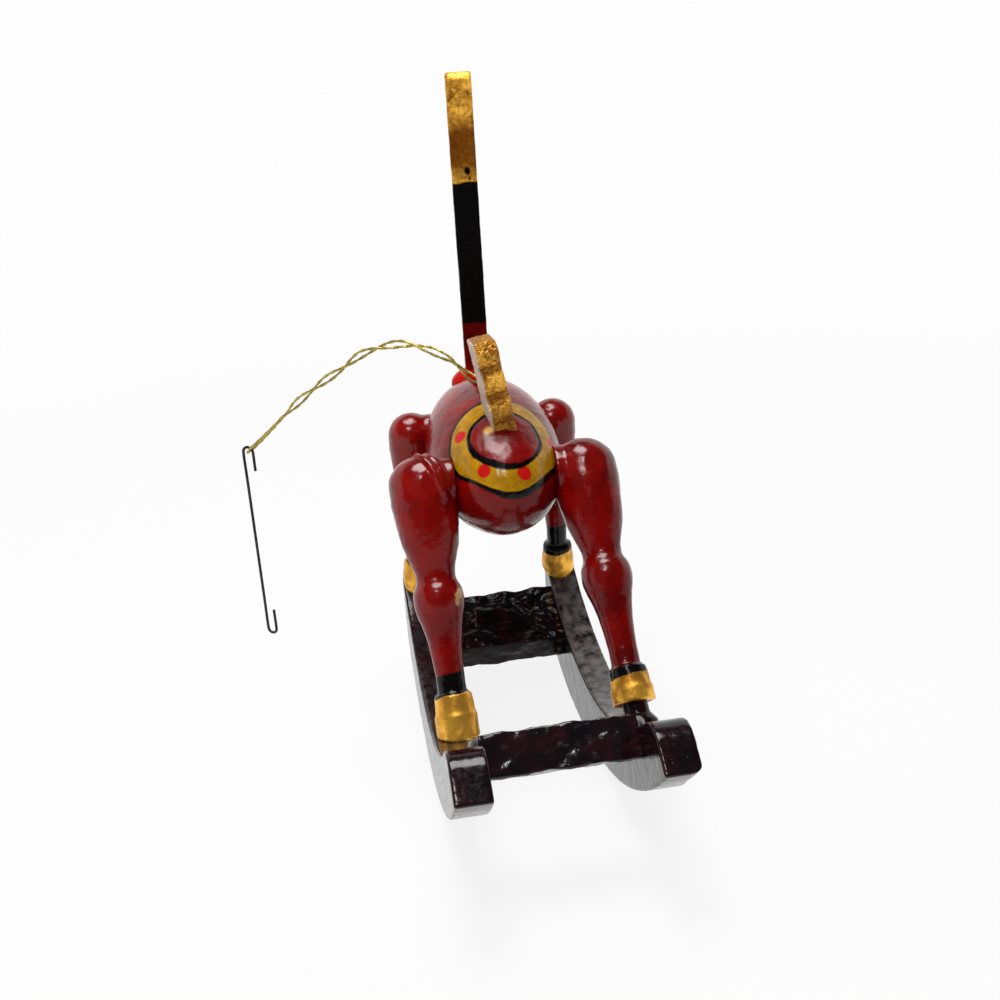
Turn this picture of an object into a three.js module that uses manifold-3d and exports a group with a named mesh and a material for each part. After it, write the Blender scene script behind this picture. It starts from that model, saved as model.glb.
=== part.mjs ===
// Rocking reindeer ornament: turned and painted wood on two rockers, with a gold hanging thread and a wire hook.
// Millimetres, +Z up. The reindeer faces +Y and +X is its right side. The rockers stand on z = 0.

import * as THREE from 'three';
import { mergeVertices } from 'three/addons/utils/BufferGeometryUtils.js';
import Module from 'manifold-3d';

const wasm = await Module();
wasm.setup();

// Fits
const GLUE_GAP = 0.3;
const CUT_MARGIN = 2;

// Rockers: two boards sawn as crescents, with a short flat under the balance point
const ROCKER_SPACING = 32;
const ROCKER_THICKNESS = 6.1;
const ROCKER_DEPTH = 12.1;
const ROCKER_UNDER_RADIUS = 88;
const ROCKER_TOP_RADIUS = 70;
const ROCKER_TOP_BACK = 5.8;
const ROCKER_REAR_REACH = 63.5;
const ROCKER_FRONT_REACH = 32;
const ROCKER_FLAT = 16;
const ROCKER_REAR_CUT = 8;
const ROCKER_REAR_ROUND = 5;
const ROCKER_FRONT_ROUND = 3;
const ROCKER_TOE_ROUND = 4.5;
const ROCKER_EDGE = 0.5;

// Stretchers: a bar at the rear and a wide thin board at the front, with round tenons
const REAR_BAR_BACK = 49;
const REAR_BAR_DEPTH = 6.5;
const REAR_BAR_HEIGHT = 7.2;
const REAR_BAR_DROP = -2.3;
const FRONT_BAR_AHEAD = 10.6;
const FRONT_BAR_DEPTH = 15.4;
const FRONT_BAR_HEIGHT = 6;
const FRONT_BAR_DROP = 1;
const BAR_EDGE = 0.8;
const TENON_RADIUS = 1.4;
const TENON_LENGTH = 2;
const TENON_DEPTH = 3.4;

// Body: an egg turned about a nearly level axis
const BODY_RADIUS = 13;
const BODY_HALF_LENGTH = 25;
const BODY_HEIGHT = 55.45;
const BODY_AHEAD = 10.95;
const BODY_TILT = 5.6;

// Legs: turned, with a domed thigh, a round knee and a stepped hoof
const REAR_LEG = {
  hipAlong: -13.5, hipRise: 0.8, seat: 2, cheek: 5, thigh: 6.3, dome: 5.8, waist: 3.6, waistHeight: 29.8,
  knee: 4.65, kneeHeight: 24, shin: 2.6, hoof: 3.9, hoofStep: 3.8, hoofTop: 3.4, hoofHeight: 7.5, hoofAt: -25,
};
const FRONT_LEG = {
  hipAlong: 12.8, hipRise: 0, seat: 1.1, cheek: 4, thigh: 4.7, dome: 4.7, waist: 2.9, waistHeight: 22.6,
  knee: 3.6, kneeHeight: 18.4, shin: 2.15, hoof: 3.5, hoofStep: 2.9, hoofTop: 3.1, hoofHeight: 5.8, hoofAt: 28.9,
};
const HOOF_SPACING = 31;
// The rear hooves stand off the rockers' middle lines, and the right one so far back that its peg shows
const LEFT_REAR_ASIDE = -1.3;
const RIGHT_REAR_ASIDE = 1.5;
const RIGHT_REAR_BACK = 8;
const BAND_HEIGHT = 3.8;
const HOOF_LEDGE = 0.2;
const HOOF_BEVEL = 0.5;
// Shape of the swelling between shin and knee and between waist and thigh, as shares of each span
const CALF_TAPER = 0.35;
const CALF_RISE = 0.56;
const THIGH_TAPER = 0.61;
const THIGH_RISE = 0.42;

// Dowels and pegs
const HIP_DOWEL_RADIUS = 1.8;
const HIP_DOWEL_IN_LEG = 1.5;
const HIP_DOWEL_IN_BODY = 8.5;
const PEG_RADIUS = 1.9;
const PEG_IN_HOOF = 4.6;
const PEG_IN_ROCKER = 4;
const NECK_DOWEL_RADIUS = 1.2;
const NECK_DOWEL_UP = 6;
const NECK_DOWEL_DOWN = 7;
const TAIL_DOWEL_RADIUS = 0.9;
const TAIL_DOWEL_UP = 5;
const TAIL_DOWEL_DOWN = 5;

// Neck board: neck, head and antlers sawn from one piece
const NECK_BOARD_THICKNESS = 4.9;
const NECK_ALONG = 20;
const NECK_WIDTH = 9.5;
const NECK_LENGTH = 23;
const NECK_SWEEP = 2.6;
const HEAD_HEIGHT = 17;
const MUZZLE_LENGTH = 10.5;
const MUZZLE_DEPTH = 7;
const NECK_TURN = -6.5;
const NECK_ASIDE = 0.6;
const ANTLER_HEIGHT = 21;
const ANTLER_REACH = 11;
const ANTLER_BEAM = 4.4;
const ANTLER_TINES = 3;
const TINE_STEP = 2;
const TINE_TIP = 1.4;
const NECK_EDGE = 0.6;
const NECK_FLARE = 1;
const NECK_HOLLOW = 1.5;
const NECK_FOOT_CURVE = 3;
const NAPE_RISE = 4;
const BEAM_TAPER = 1;
const JAW_ROUND = 2;
const NOSE_ROUND = 2.5;
const FOREHEAD = 3;
// Height of the neck's narrowest place as a share of the neck
const NECK_MIDDLE = 0.55;
// Roots of a tine as shares of the step between tines
const TINE_LOWER_ROOT = 0.2;
const TINE_CROTCH = 0.65;
const TINE_UPPER_ROOT = 0.95;

// Tail: a sawn board with a scalloped rear edge, set slightly askew
const TAIL_THICKNESS = 4.4;
const TAIL_ALONG = -10.6;
const TAIL_ASIDE = 0.2;
const TAIL_HEIGHT = 15.2;
const TAIL_FOOT = 7;
const TAIL_TOP_WIDTH = 5;
const TAIL_RAKE = 1.5;
const TAIL_SCALLOPS = 3;
const TAIL_SCALLOP = 2.2;
const TAIL_LEAN = -9.4;
const TAIL_TURN = 3;
const TAIL_EDGE = 0.4;

// Hanging eye, thread and hook
const EYE_ALONG = -1;
const EYE_WIRE_RADIUS = 0.4;
const EYE_HOLE_RADIUS = 1.4;
const EYE_SHANK_LENGTH = 6;
const EYE_STAND = 0.5;
const THREAD_RADIUS = 0.3;
const STRAND_OFFSET = 0.6;
const STRAND_TWISTS = 3;
const KNOT_RADIUS = 1.5;
const KNOT_LENGTH = 2.2;
const LOOP_HALF_WIDTH = 1.7;
const LOOP_START = 0.8;
const HOOK_WIRE_RADIUS = 0.4;
const HOOK_CROOK_RADIUS = 1.15;
const HOOK_LENGTH = 41;
const HOOK_TIP_LENGTH = 4;
const HOOK_FOOT_RADIUS = 1;
const HOOK_FOOT_LENGTH = 4.6;
// Route of the thread from the eye to the hook's upper crook, as it lies in the photograph
const THREAD_ROUTE = [
  [-2.7, 10, 71], [-6.8, 10.8, 74.9], [-12.2, 13.5, 77.4], [-15.9, 15.3, 77.9], [-22.4, 18.5, 76.2],
  [-27.7, 21.2, 72.5], [-33.7, 24.1, 68.2], [-38.6, 26.5, 63.9], [-43, 28.7, 59.5], [-48.4, 31.8, 54.2],
];

// Facet counts
const LEG_SIDES = 16;
const STEM_RINGS = 12;
const DOME_RINGS = 5;
const ROCKER_FACETS = 8;
const BAR_FACETS = 3;
const NECK_FACETS = 4;
const TAIL_FACETS = 5;
const BODY_SIDES = 32;
const BODY_RINGS = 20;
const PIN_SIDES = 12;
const WIRE_SIDES = 8;
const THREAD_STATIONS = 30;
const THREAD_STEPS = 70;
const KNOT_SIDES = 10;
const KNOT_RINGS = 7;
const HOOK_TURN_POINTS = 6;
const HOOK_SHANK_POINTS = 6;
const HOOK_STEPS = 40;
const EYE_STEPS = 14;
const WELD_DISTANCE = 1e-4;

const X_AXIS = new THREE.Vector3(1, 0, 0);
const Z_AXIS = new THREE.Vector3(0, 0, 1);

// Paints and metals

function finish(color, roughness, metalness) {
  return new THREE.MeshStandardMaterial({ color, roughness, metalness });
}

const redLacquer = () => finish(0x7a1410, 0.25, 0);
const blackLacquer = () => finish(0x1d1216, 0.25, 0);
const goldPaint = () => finish(0xc08a2a, 0.4, 0.8);
const bareWood = () => finish(0xc79c68, 0.7, 0);
const goldThread = () => finish(0xd2ae5c, 0.35, 0.9);
const brassWire = () => finish(0xb59345, 0.35, 1);
const darkSteel = () => finish(0x3c3a3a, 0.4, 1);

// Solids: a closed geometry, moved by a matrix, as a body that can be joined and cut

function toSolid(geometry, matrix = new THREE.Matrix4()) {
  const moved = geometry.clone().applyMatrix4(matrix);
  moved.deleteAttribute('normal');
  moved.deleteAttribute('uv');
  const merged = mergeVertices(moved, WELD_DISTANCE);
  const index = merged.index.array;
  const position = merged.attributes.position;
  const corners = [];
  const [a, b, c] = [new THREE.Vector3(), new THREE.Vector3(), new THREE.Vector3()];
  let volume = 0;
  for (let i = 0; i < index.length; i += 3) {
    const [p, q, r] = [index[i], index[i + 1], index[i + 2]];
    if (p === q || q === r || r === p) {
      continue;
    }
    corners.push([p, q, r]);
    a.fromBufferAttribute(position, p);
    b.fromBufferAttribute(position, q);
    c.fromBufferAttribute(position, r);
    volume += a.dot(b.cross(c));
  }
  const outward = volume > 0 ? corners : corners.map(([p, q, r]) => [p, r, q]);
  const mesh = new wasm.Mesh({
    numProp: 3,
    vertProperties: new Float32Array(position.array),
    triVerts: new Uint32Array(outward.flat()),
  });
  return new wasm.Manifold(mesh);
}

function toGeometry(solid) {
  const { vertProperties, triVerts, numProp } = solid.getMesh();
  const geometry = new THREE.BufferGeometry();
  const positions = new Float32Array((vertProperties.length / numProp) * 3);
  for (let i = 0; i < positions.length / 3; i += 1) {
    for (let axis = 0; axis < 3; axis += 1) {
      positions[i * 3 + axis] = vertProperties[i * numProp + axis];
    }
  }
  geometry.setAttribute('position', new THREE.BufferAttribute(positions, 3));
  geometry.setIndex(Array.from(triVerts));
  geometry.computeVertexNormals();
  return geometry;
}

// A piece is shaped in the ornament's frame and then hung at its own place
function piece(name, solid, material, place = new THREE.Matrix4()) {
  const geometry = toGeometry(solid).applyMatrix4(place.clone().invert());
  const mesh = new THREE.Mesh(geometry, material);
  mesh.name = name;
  mesh.applyMatrix4(place);
  return mesh;
}

// Places

function along(origin, direction) {
  const turn = new THREE.Quaternion().setFromUnitVectors(Z_AXIS, direction.clone().normalize());
  return new THREE.Matrix4().compose(origin, turn, new THREE.Vector3(1, 1, 1));
}

// A side view drawn as (forward, up) with its thickness across the ornament
function sideView(across) {
  const basis = new THREE.Matrix4().makeBasis(new THREE.Vector3(0, 1, 0), Z_AXIS, X_AXIS);
  return basis.setPosition(across, 0, 0);
}

// Basic forms

function turned(profile, sides) {
  const points = profile.map(([radius, height]) => new THREE.Vector2(radius, height));
  return new THREE.LatheGeometry(points, sides).rotateX(Math.PI / 2);
}

function pin(radius, from, to) {
  return turned([[0, from], [radius, from], [radius, to], [0, to]], PIN_SIDES);
}

function sawn(shape, thickness, edge, curveSegments) {
  const geometry = new THREE.ExtrudeGeometry(shape, {
    depth: thickness - 2 * edge,
    bevelEnabled: edge > 0,
    bevelThickness: edge,
    bevelSize: edge,
    bevelOffset: -edge,
    bevelSegments: 1,
    curveSegments,
  });
  return geometry.translate(0, 0, edge - thickness / 2);
}

function wire(path, radius, steps) {
  const section = new THREE.Shape();
  for (let side = 0; side < WIRE_SIDES; side += 1) {
    const angle = (2 * Math.PI * side) / WIRE_SIDES;
    const corner = [radius * Math.cos(angle), radius * Math.sin(angle)];
    if (side === 0) {
      section.moveTo(...corner);
    } else {
      section.lineTo(...corner);
    }
  }
  section.closePath();
  return new THREE.ExtrudeGeometry(section, { steps, extrudePath: path, bevelEnabled: false });
}

// Body frame: origin at the middle of the egg, local Z along its axis toward the chest

const bodyTilt = THREE.MathUtils.degToRad(BODY_TILT);
const bodyCentre = new THREE.Vector3(0, BODY_AHEAD, BODY_HEIGHT);
const bodyAxis = new THREE.Vector3(0, Math.cos(bodyTilt), Math.sin(bodyTilt));
const bodyUp = new THREE.Vector3(0, -Math.sin(bodyTilt), Math.cos(bodyTilt));
const bodyPlace = along(bodyCentre, bodyAxis);

function bodyRadiusAt(distance) {
  return BODY_RADIUS * Math.sqrt(Math.max(0, 1 - (distance / BODY_HALF_LENGTH) ** 2));
}

function bodyPoint(distance, rise, across = 0) {
  const point = bodyCentre.clone().addScaledVector(bodyAxis, distance).addScaledVector(bodyUp, rise);
  return point.setX(across);
}

function egg(extra) {
  const profile = [];
  for (let ring = 0; ring <= BODY_RINGS; ring += 1) {
    const angle = (Math.PI * ring) / BODY_RINGS;
    const radius = ring === 0 || ring === BODY_RINGS ? 0 : (BODY_RADIUS + extra) * Math.sin(angle);
    profile.push([radius, -(BODY_HALF_LENGTH + extra) * Math.cos(angle)]);
  }
  return toSolid(turned(profile, BODY_SIDES), bodyPlace);
}

const bodyClearance = egg(GLUE_GAP);

// Rockers: the upper and lower edges are arcs about different centres

const underCentre = new THREE.Vector2(0, Math.sqrt(ROCKER_UNDER_RADIUS ** 2 - (ROCKER_FLAT / 2) ** 2));
const topCentre = new THREE.Vector2(-ROCKER_TOP_BACK, ROCKER_DEPTH + ROCKER_TOP_RADIUS);
const rockerInside = ROCKER_SPACING / 2 - ROCKER_THICKNESS / 2;

function arcHeight(centre, radius, forward) {
  return centre.y - Math.sqrt(radius ** 2 - (forward - centre.x) ** 2);
}

function arcAngle(centre, radius, forward) {
  return Math.asin((forward - centre.x) / radius) - Math.PI / 2;
}

function rockerTop(forward) {
  return arcHeight(topCentre, ROCKER_TOP_RADIUS, forward);
}

function rockerUp(forward) {
  return new THREE.Vector3(0, topCentre.x - forward, topCentre.y - rockerTop(forward)).normalize();
}

// Side view of a rocker: the rear end is cut back toward the top, with rounded corners there and at the front
function rockerShape() {
  const rear = -ROCKER_REAR_REACH;
  const front = ROCKER_FRONT_REACH;
  const under = (forward) => arcHeight(underCentre, ROCKER_UNDER_RADIUS, forward);
  const underAngle = (forward) => arcAngle(underCentre, ROCKER_UNDER_RADIUS, forward);
  const topAngle = (forward) => arcAngle(topCentre, ROCKER_TOP_RADIUS, forward);
  const shape = new THREE.Shape();
  shape.moveTo(rear, under(rear));
  shape.absarc(...underCentre, ROCKER_UNDER_RADIUS, underAngle(rear), underAngle(-ROCKER_FLAT / 2), false);
  const toeAngle = underAngle(front - ROCKER_TOE_ROUND);
  shape.absarc(...underCentre, ROCKER_UNDER_RADIUS, underAngle(ROCKER_FLAT / 2), toeAngle, false);
  shape.quadraticCurveTo(front, under(front), front, under(front) + ROCKER_TOE_ROUND);
  shape.lineTo(front, rockerTop(front) - ROCKER_FRONT_ROUND);
  const topFront = front - ROCKER_FRONT_ROUND;
  const rearTop = rear + ROCKER_REAR_CUT;
  const topRear = rearTop + ROCKER_REAR_ROUND;
  const corner = new THREE.Vector2(rearTop, rockerTop(rearTop));
  const bend = new THREE.Vector2(rear, under(rear)).sub(corner).setLength(ROCKER_REAR_ROUND).add(corner);
  shape.quadraticCurveTo(front, rockerTop(front), topFront, rockerTop(topFront));
  shape.absarc(...topCentre, ROCKER_TOP_RADIUS, topAngle(topFront), topAngle(topRear), true);
  shape.quadraticCurveTo(...corner, ...bend);
  shape.closePath();
  return shape;
}

function rockerBlank(side) {
  const board = sawn(rockerShape(), ROCKER_THICKNESS, ROCKER_EDGE, ROCKER_FACETS);
  return toSolid(board, sideView((side * ROCKER_SPACING) / 2));
}

// Everything below the rockers' upper edge, to trim the hooves where they stand
function hoofCutter() {
  const spare = REAR_LEG.hoof + CUT_MARGIN;
  const rear = REAR_LEG.hoofAt - RIGHT_REAR_BACK - 2 * spare;
  const front = FRONT_LEG.hoofAt + 2 * spare;
  const radius = ROCKER_TOP_RADIUS - GLUE_GAP;
  const shape = new THREE.Shape();
  shape.moveTo(rear, -CUT_MARGIN);
  shape.lineTo(front, -CUT_MARGIN);
  shape.absarc(...topCentre, radius, arcAngle(topCentre, radius, front), arcAngle(topCentre, radius, rear), true);
  shape.closePath();
  const width = ROCKER_SPACING + ROCKER_THICKNESS + 2 * spare;
  return toSolid(sawn(shape, width, 0, ROCKER_FACETS), sideView(0));
}

// Legs

function legLine(leg, side, back, aside) {
  const radius = bodyRadiusAt(leg.hipAlong);
  const hip = bodyPoint(leg.hipAlong, leg.hipRise, side * (radius + leg.thigh - leg.seat));
  const forward = leg.hoofAt - back;
  const across = side * (HOOF_SPACING / 2 + aside);
  const stand = new THREE.Vector3(across, forward, rockerTop(forward));
  const direction = hip.clone().sub(stand);
  const reach = direction.length();
  direction.normalize();
  return { hip, stand, direction, reach };
}

function legProfile(leg, length, trim) {
  const bandTop = leg.hoofHeight + BAND_HEIGHT;
  const thighHeight = length - leg.thigh / 2;
  const { lerp } = THREE.MathUtils;
  const swell = new THREE.SplineCurve([
    new THREE.Vector2(leg.shin, bandTop),
    new THREE.Vector2(lerp(leg.shin, leg.knee, CALF_TAPER), lerp(bandTop, leg.kneeHeight, CALF_RISE)),
    new THREE.Vector2(leg.knee, leg.kneeHeight),
    new THREE.Vector2(leg.waist, leg.waistHeight),
    new THREE.Vector2(lerp(leg.waist, leg.thigh, THIGH_TAPER), lerp(leg.waistHeight, thighHeight, THIGH_RISE)),
    new THREE.Vector2(leg.thigh, thighHeight),
  ]);
  const dome = new THREE.EllipseCurve(0, length, leg.thigh, leg.dome, 0, Math.PI / 2);
  const hoof = [
    [0, -trim], [leg.hoof, -trim], [leg.hoof, leg.hoofStep],
    [leg.hoofTop + HOOF_LEDGE, leg.hoofStep + HOOF_BEVEL], [leg.hoofTop, leg.hoofHeight],
    [leg.shin, leg.hoofHeight + HOOF_BEVEL],
  ];
  const stem = swell.getPoints(STEM_RINGS).map((point) => [point.x, point.y]);
  const cap = dome.getPoints(DOME_RINGS).map((point) => [point.x, point.y]);
  cap[cap.length - 1][0] = 0;
  return [...hoof, ...stem, ...cap];
}

function dowelCut(radius, from, to) {
  return pin(radius + GLUE_GAP, from - GLUE_GAP, to + GLUE_GAP);
}

function buildLeg(name, leg, side, back, aside) {
  const { hip, stand, direction, reach } = legLine(leg, side, back, aside);
  const length = legLine(leg, side, 0, aside).reach;
  const lift = reach - length;
  const foot = stand.clone().addScaledVector(direction, lift);
  const place = along(foot, direction);
  const trim = lift > 0 ? 0 : leg.hoof + CUT_MARGIN;
  const hipPlace = along(hip, new THREE.Vector3(side, 0, 0));
  const cheek = toSolid(pin(leg.cheek, -Math.abs(hip.x), 0), hipPlace);
  const pegFoot = -PEG_IN_ROCKER - lift;
  const solid = toSolid(turned(legProfile(leg, length, trim), LEG_SIDES), place)
    .add(cheek)
    .subtract(bodyClearance)
    .subtract(hoofCutter())
    .subtract(toSolid(dowelCut(HIP_DOWEL_RADIUS, -HIP_DOWEL_IN_BODY, HIP_DOWEL_IN_LEG), hipPlace))
    .subtract(toSolid(dowelCut(PEG_RADIUS, pegFoot, PEG_IN_HOOF), place));
  return {
    leg: piece(`leg_${name}`, solid, redLacquer(), place),
    hipDowel: { name: `hip_dowel_${name}`, place: hipPlace },
    peg: { name: `hoof_peg_${name}`, place, foot: pegFoot },
    side,
  };
}

const legs = [
  buildLeg('rear_left', REAR_LEG, -1, 0, LEFT_REAR_ASIDE),
  buildLeg('rear_right', REAR_LEG, 1, RIGHT_REAR_BACK, RIGHT_REAR_ASIDE),
  buildLeg('front_left', FRONT_LEG, -1, 0, 0),
  buildLeg('front_right', FRONT_LEG, 1, 0, 0),
];

function buildDowels() {
  return legs.flatMap(({ hipDowel, peg }) => {
    const dowel = pin(HIP_DOWEL_RADIUS, -HIP_DOWEL_IN_BODY, HIP_DOWEL_IN_LEG);
    const hoofPeg = pin(PEG_RADIUS, peg.foot, PEG_IN_HOOF);
    return [
      piece(hipDowel.name, toSolid(dowel, hipDowel.place), bareWood(), hipDowel.place),
      piece(peg.name, toSolid(hoofPeg, peg.place), blackLacquer(), peg.place),
    ];
  });
}

// Stretchers, laid along the rockers' curve

function barPlace(bar) {
  const up = rockerUp(bar.at);
  const ahead = new THREE.Vector3(0, up.z, -up.y);
  const place = new THREE.Matrix4().makeBasis(ahead, up, X_AXIS);
  const middle = new THREE.Vector3(0, bar.at, rockerTop(bar.at)).addScaledVector(up, -bar.drop - bar.height / 2);
  return place.setPosition(middle);
}

const bars = [
  {
    name: 'stretcher_rear', at: REAR_BAR_DEPTH / 2 - REAR_BAR_BACK, depth: REAR_BAR_DEPTH,
    height: REAR_BAR_HEIGHT, drop: REAR_BAR_DROP,
  },
  {
    name: 'stretcher_front', at: FRONT_BAR_AHEAD + FRONT_BAR_DEPTH / 2, depth: FRONT_BAR_DEPTH,
    height: FRONT_BAR_HEIGHT, drop: FRONT_BAR_DROP,
  },
];

// The tenons sit at one depth below the rockers' upper edge, whatever the bar's height
function tenonHolder(bar, extra) {
  const reach = rockerInside + TENON_LENGTH + extra;
  const rise = bar.drop + bar.height / 2 - TENON_DEPTH;
  const place = barPlace(bar).multiply(new THREE.Matrix4().makeTranslation(0, rise, 0));
  return toSolid(pin(TENON_RADIUS + extra, -reach, reach), place);
}

function buildBar(bar) {
  const shape = new THREE.Shape();
  const [halfDepth, halfHeight] = [bar.depth / 2, bar.height / 2];
  shape.moveTo(-halfDepth + BAR_EDGE, -halfHeight);
  shape.lineTo(halfDepth - BAR_EDGE, -halfHeight);
  shape.quadraticCurveTo(halfDepth, -halfHeight, halfDepth, -halfHeight + BAR_EDGE);
  shape.lineTo(halfDepth, halfHeight - BAR_EDGE);
  shape.quadraticCurveTo(halfDepth, halfHeight, halfDepth - BAR_EDGE, halfHeight);
  shape.lineTo(-halfDepth + BAR_EDGE, halfHeight);
  shape.quadraticCurveTo(-halfDepth, halfHeight, -halfDepth, halfHeight - BAR_EDGE);
  shape.lineTo(-halfDepth, -halfHeight + BAR_EDGE);
  shape.quadraticCurveTo(-halfDepth, -halfHeight, -halfDepth + BAR_EDGE, -halfHeight);
  const place = barPlace(bar);
  const board = toSolid(sawn(shape, 2 * (rockerInside - GLUE_GAP), 0, BAR_FACETS), place);
  return piece(bar.name, board.add(tenonHolder(bar, 0)), blackLacquer(), place);
}

function buildRocker(name, side) {
  let solid = rockerBlank(side);
  for (const bar of bars) {
    solid = solid.subtract(tenonHolder(bar, GLUE_GAP));
  }
  for (const { peg } of legs.filter((entry) => entry.side === side)) {
    solid = solid.subtract(toSolid(dowelCut(PEG_RADIUS, peg.foot, PEG_IN_HOOF), peg.place));
  }
  return piece(`rocker_${name}`, solid, blackLacquer(), sideView((side * ROCKER_SPACING) / 2));
}

// Neck board, drawn in its own side view with the origin at the middle of the neck's foot

const neckFoot = bodyPoint(NECK_ALONG, bodyRadiusAt(NECK_ALONG), NECK_ASIDE);
const neckPlace = new THREE.Matrix4().makeRotationZ(THREE.MathUtils.degToRad(NECK_TURN))
  .setPosition(neckFoot)
  .multiply(sideView(0));

function neckShape() {
  const back = -NECK_WIDTH / 2;
  const front = NECK_WIDTH / 2;
  const foot = -bodyRadiusAt(NECK_ALONG);
  const jaw = NECK_LENGTH;
  const bridge = jaw + MUZZLE_DEPTH;
  const poll = NECK_LENGTH + HEAD_HEIGHT;
  const top = poll + ANTLER_HEIGHT;
  const nose = front + MUZZLE_LENGTH;
  const beamBack = back - NECK_SWEEP;
  const beamFront = beamBack + ANTLER_BEAM;
  const shape = new THREE.Shape();
  shape.moveTo(back, foot);
  shape.lineTo(front, foot);
  shape.lineTo(front + NECK_FLARE, 0);
  shape.quadraticCurveTo(front - NECK_HOLLOW, jaw * NECK_MIDDLE, front, jaw - NECK_FLARE);
  shape.quadraticCurveTo(front + JAW_ROUND, jaw + JAW_ROUND, nose - NOSE_ROUND, jaw);
  shape.quadraticCurveTo(nose, jaw, nose, jaw + NOSE_ROUND);
  shape.quadraticCurveTo(nose, bridge, nose - NOSE_ROUND, bridge);
  shape.quadraticCurveTo(front + FOREHEAD, bridge + NECK_FLARE, front, poll - FOREHEAD);
  shape.quadraticCurveTo(front, poll, beamFront, poll);
  // Tines curve forward and up from the antler's beam, the lowest one longest
  const rise = (ANTLER_HEIGHT - ANTLER_BEAM / 2) / ANTLER_TINES;
  for (let level = 0; level < ANTLER_TINES; level += 1) {
    const root = poll + rise * level;
    const reach = beamFront + ANTLER_REACH - TINE_STEP * level;
    shape.lineTo(beamFront, root + rise * TINE_LOWER_ROOT);
    shape.quadraticCurveTo(reach - TINE_TIP, root + rise * TINE_LOWER_ROOT, reach, root + rise);
    shape.lineTo(reach - TINE_TIP, root + rise + TINE_TIP / 2);
    const crotch = root + rise * TINE_CROTCH;
    shape.quadraticCurveTo(beamFront + 2 * TINE_TIP, crotch, beamFront, root + rise * TINE_UPPER_ROOT);
  }
  shape.quadraticCurveTo(beamFront, top, beamFront - ANTLER_BEAM / 2, top);
  shape.quadraticCurveTo(beamBack, top, beamBack, top - ANTLER_BEAM / 2);
  shape.lineTo(beamBack + BEAM_TAPER, poll + NAPE_RISE);
  shape.quadraticCurveTo(beamBack, poll + NAPE_RISE / 4, beamBack + BEAM_TAPER, poll - NAPE_RISE / 4);
  shape.quadraticCurveTo(back, jaw + NAPE_RISE, back + BEAM_TAPER, jaw * NECK_MIDDLE);
  shape.quadraticCurveTo(back + BEAM_TAPER, NECK_FOOT_CURVE, back - NECK_FLARE / 2, 0);
  shape.closePath();
  return shape;
}

const neckDowelPlace = along(neckFoot, Z_AXIS);

function buildNeck() {
  const solid = toSolid(sawn(neckShape(), NECK_BOARD_THICKNESS, NECK_EDGE, NECK_FACETS), neckPlace)
    .subtract(bodyClearance)
    .subtract(toSolid(dowelCut(NECK_DOWEL_RADIUS, -NECK_DOWEL_DOWN, NECK_DOWEL_UP), neckDowelPlace));
  return piece('neck_board', solid, redLacquer(), neckPlace);
}

function buildNeckDowel() {
  const dowel = pin(NECK_DOWEL_RADIUS, -NECK_DOWEL_DOWN, NECK_DOWEL_UP);
  return piece('neck_dowel', toSolid(dowel, neckDowelPlace), bareWood(), neckDowelPlace);
}

// Tail, drawn the same way and then leaned to the left and turned a little

const tailFoot = bodyPoint(TAIL_ALONG, bodyRadiusAt(TAIL_ALONG), TAIL_ASIDE);
const tailTurn = new THREE.Euler(
  0,
  THREE.MathUtils.degToRad(TAIL_LEAN),
  THREE.MathUtils.degToRad(TAIL_TURN),
  'ZYX',
);
const tailFrame = new THREE.Matrix4().makeRotationFromEuler(tailTurn).setPosition(tailFoot);
const tailPlace = tailFrame.clone().multiply(sideView(0));

function tailShape() {
  const rear = -TAIL_FOOT / 2;
  const front = TAIL_FOOT / 2;
  const sink = -bodyRadiusAt(TAIL_ALONG) / 2;
  const scallopHeight = TAIL_HEIGHT / TAIL_SCALLOPS;
  const scallopRake = TAIL_RAKE / TAIL_SCALLOPS;
  const shape = new THREE.Shape();
  shape.moveTo(rear, sink);
  shape.lineTo(rear, 0);
  for (let step = 0; step < TAIL_SCALLOPS; step += 1) {
    const bulge = rear + scallopRake * step - TAIL_SCALLOP;
    const end = rear + scallopRake * (step + 1);
    shape.quadraticCurveTo(bulge, scallopHeight * (step + 1 / 2), end, scallopHeight * (step + 1));
  }
  shape.lineTo(rear + TAIL_RAKE + TAIL_TOP_WIDTH, TAIL_HEIGHT);
  shape.quadraticCurveTo(front - TAIL_RAKE, TAIL_HEIGHT / 2, front, 0);
  shape.lineTo(front, sink);
  shape.closePath();
  return shape;
}

function buildTail() {
  const solid = toSolid(sawn(tailShape(), TAIL_THICKNESS, TAIL_EDGE, TAIL_FACETS), tailPlace)
    .subtract(bodyClearance)
    .subtract(toSolid(dowelCut(TAIL_DOWEL_RADIUS, -TAIL_DOWEL_DOWN, TAIL_DOWEL_UP), tailFrame));
  return piece('tail', solid, goldPaint(), tailPlace);
}

function buildTailDowel() {
  const dowel = pin(TAIL_DOWEL_RADIUS, -TAIL_DOWEL_DOWN, TAIL_DOWEL_UP);
  return piece('tail_dowel', toSolid(dowel, tailFrame), bareWood(), tailFrame);
}

// Screw eye at the balance point on the back, with its ring facing sideways

const eyeFoot = bodyPoint(EYE_ALONG, bodyRadiusAt(EYE_ALONG));
const eyeRing = EYE_HOLE_RADIUS + EYE_WIRE_RADIUS;
const eyeCentre = eyeFoot.clone().add(new THREE.Vector3(0, 0, EYE_STAND + eyeRing + EYE_WIRE_RADIUS));

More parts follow.
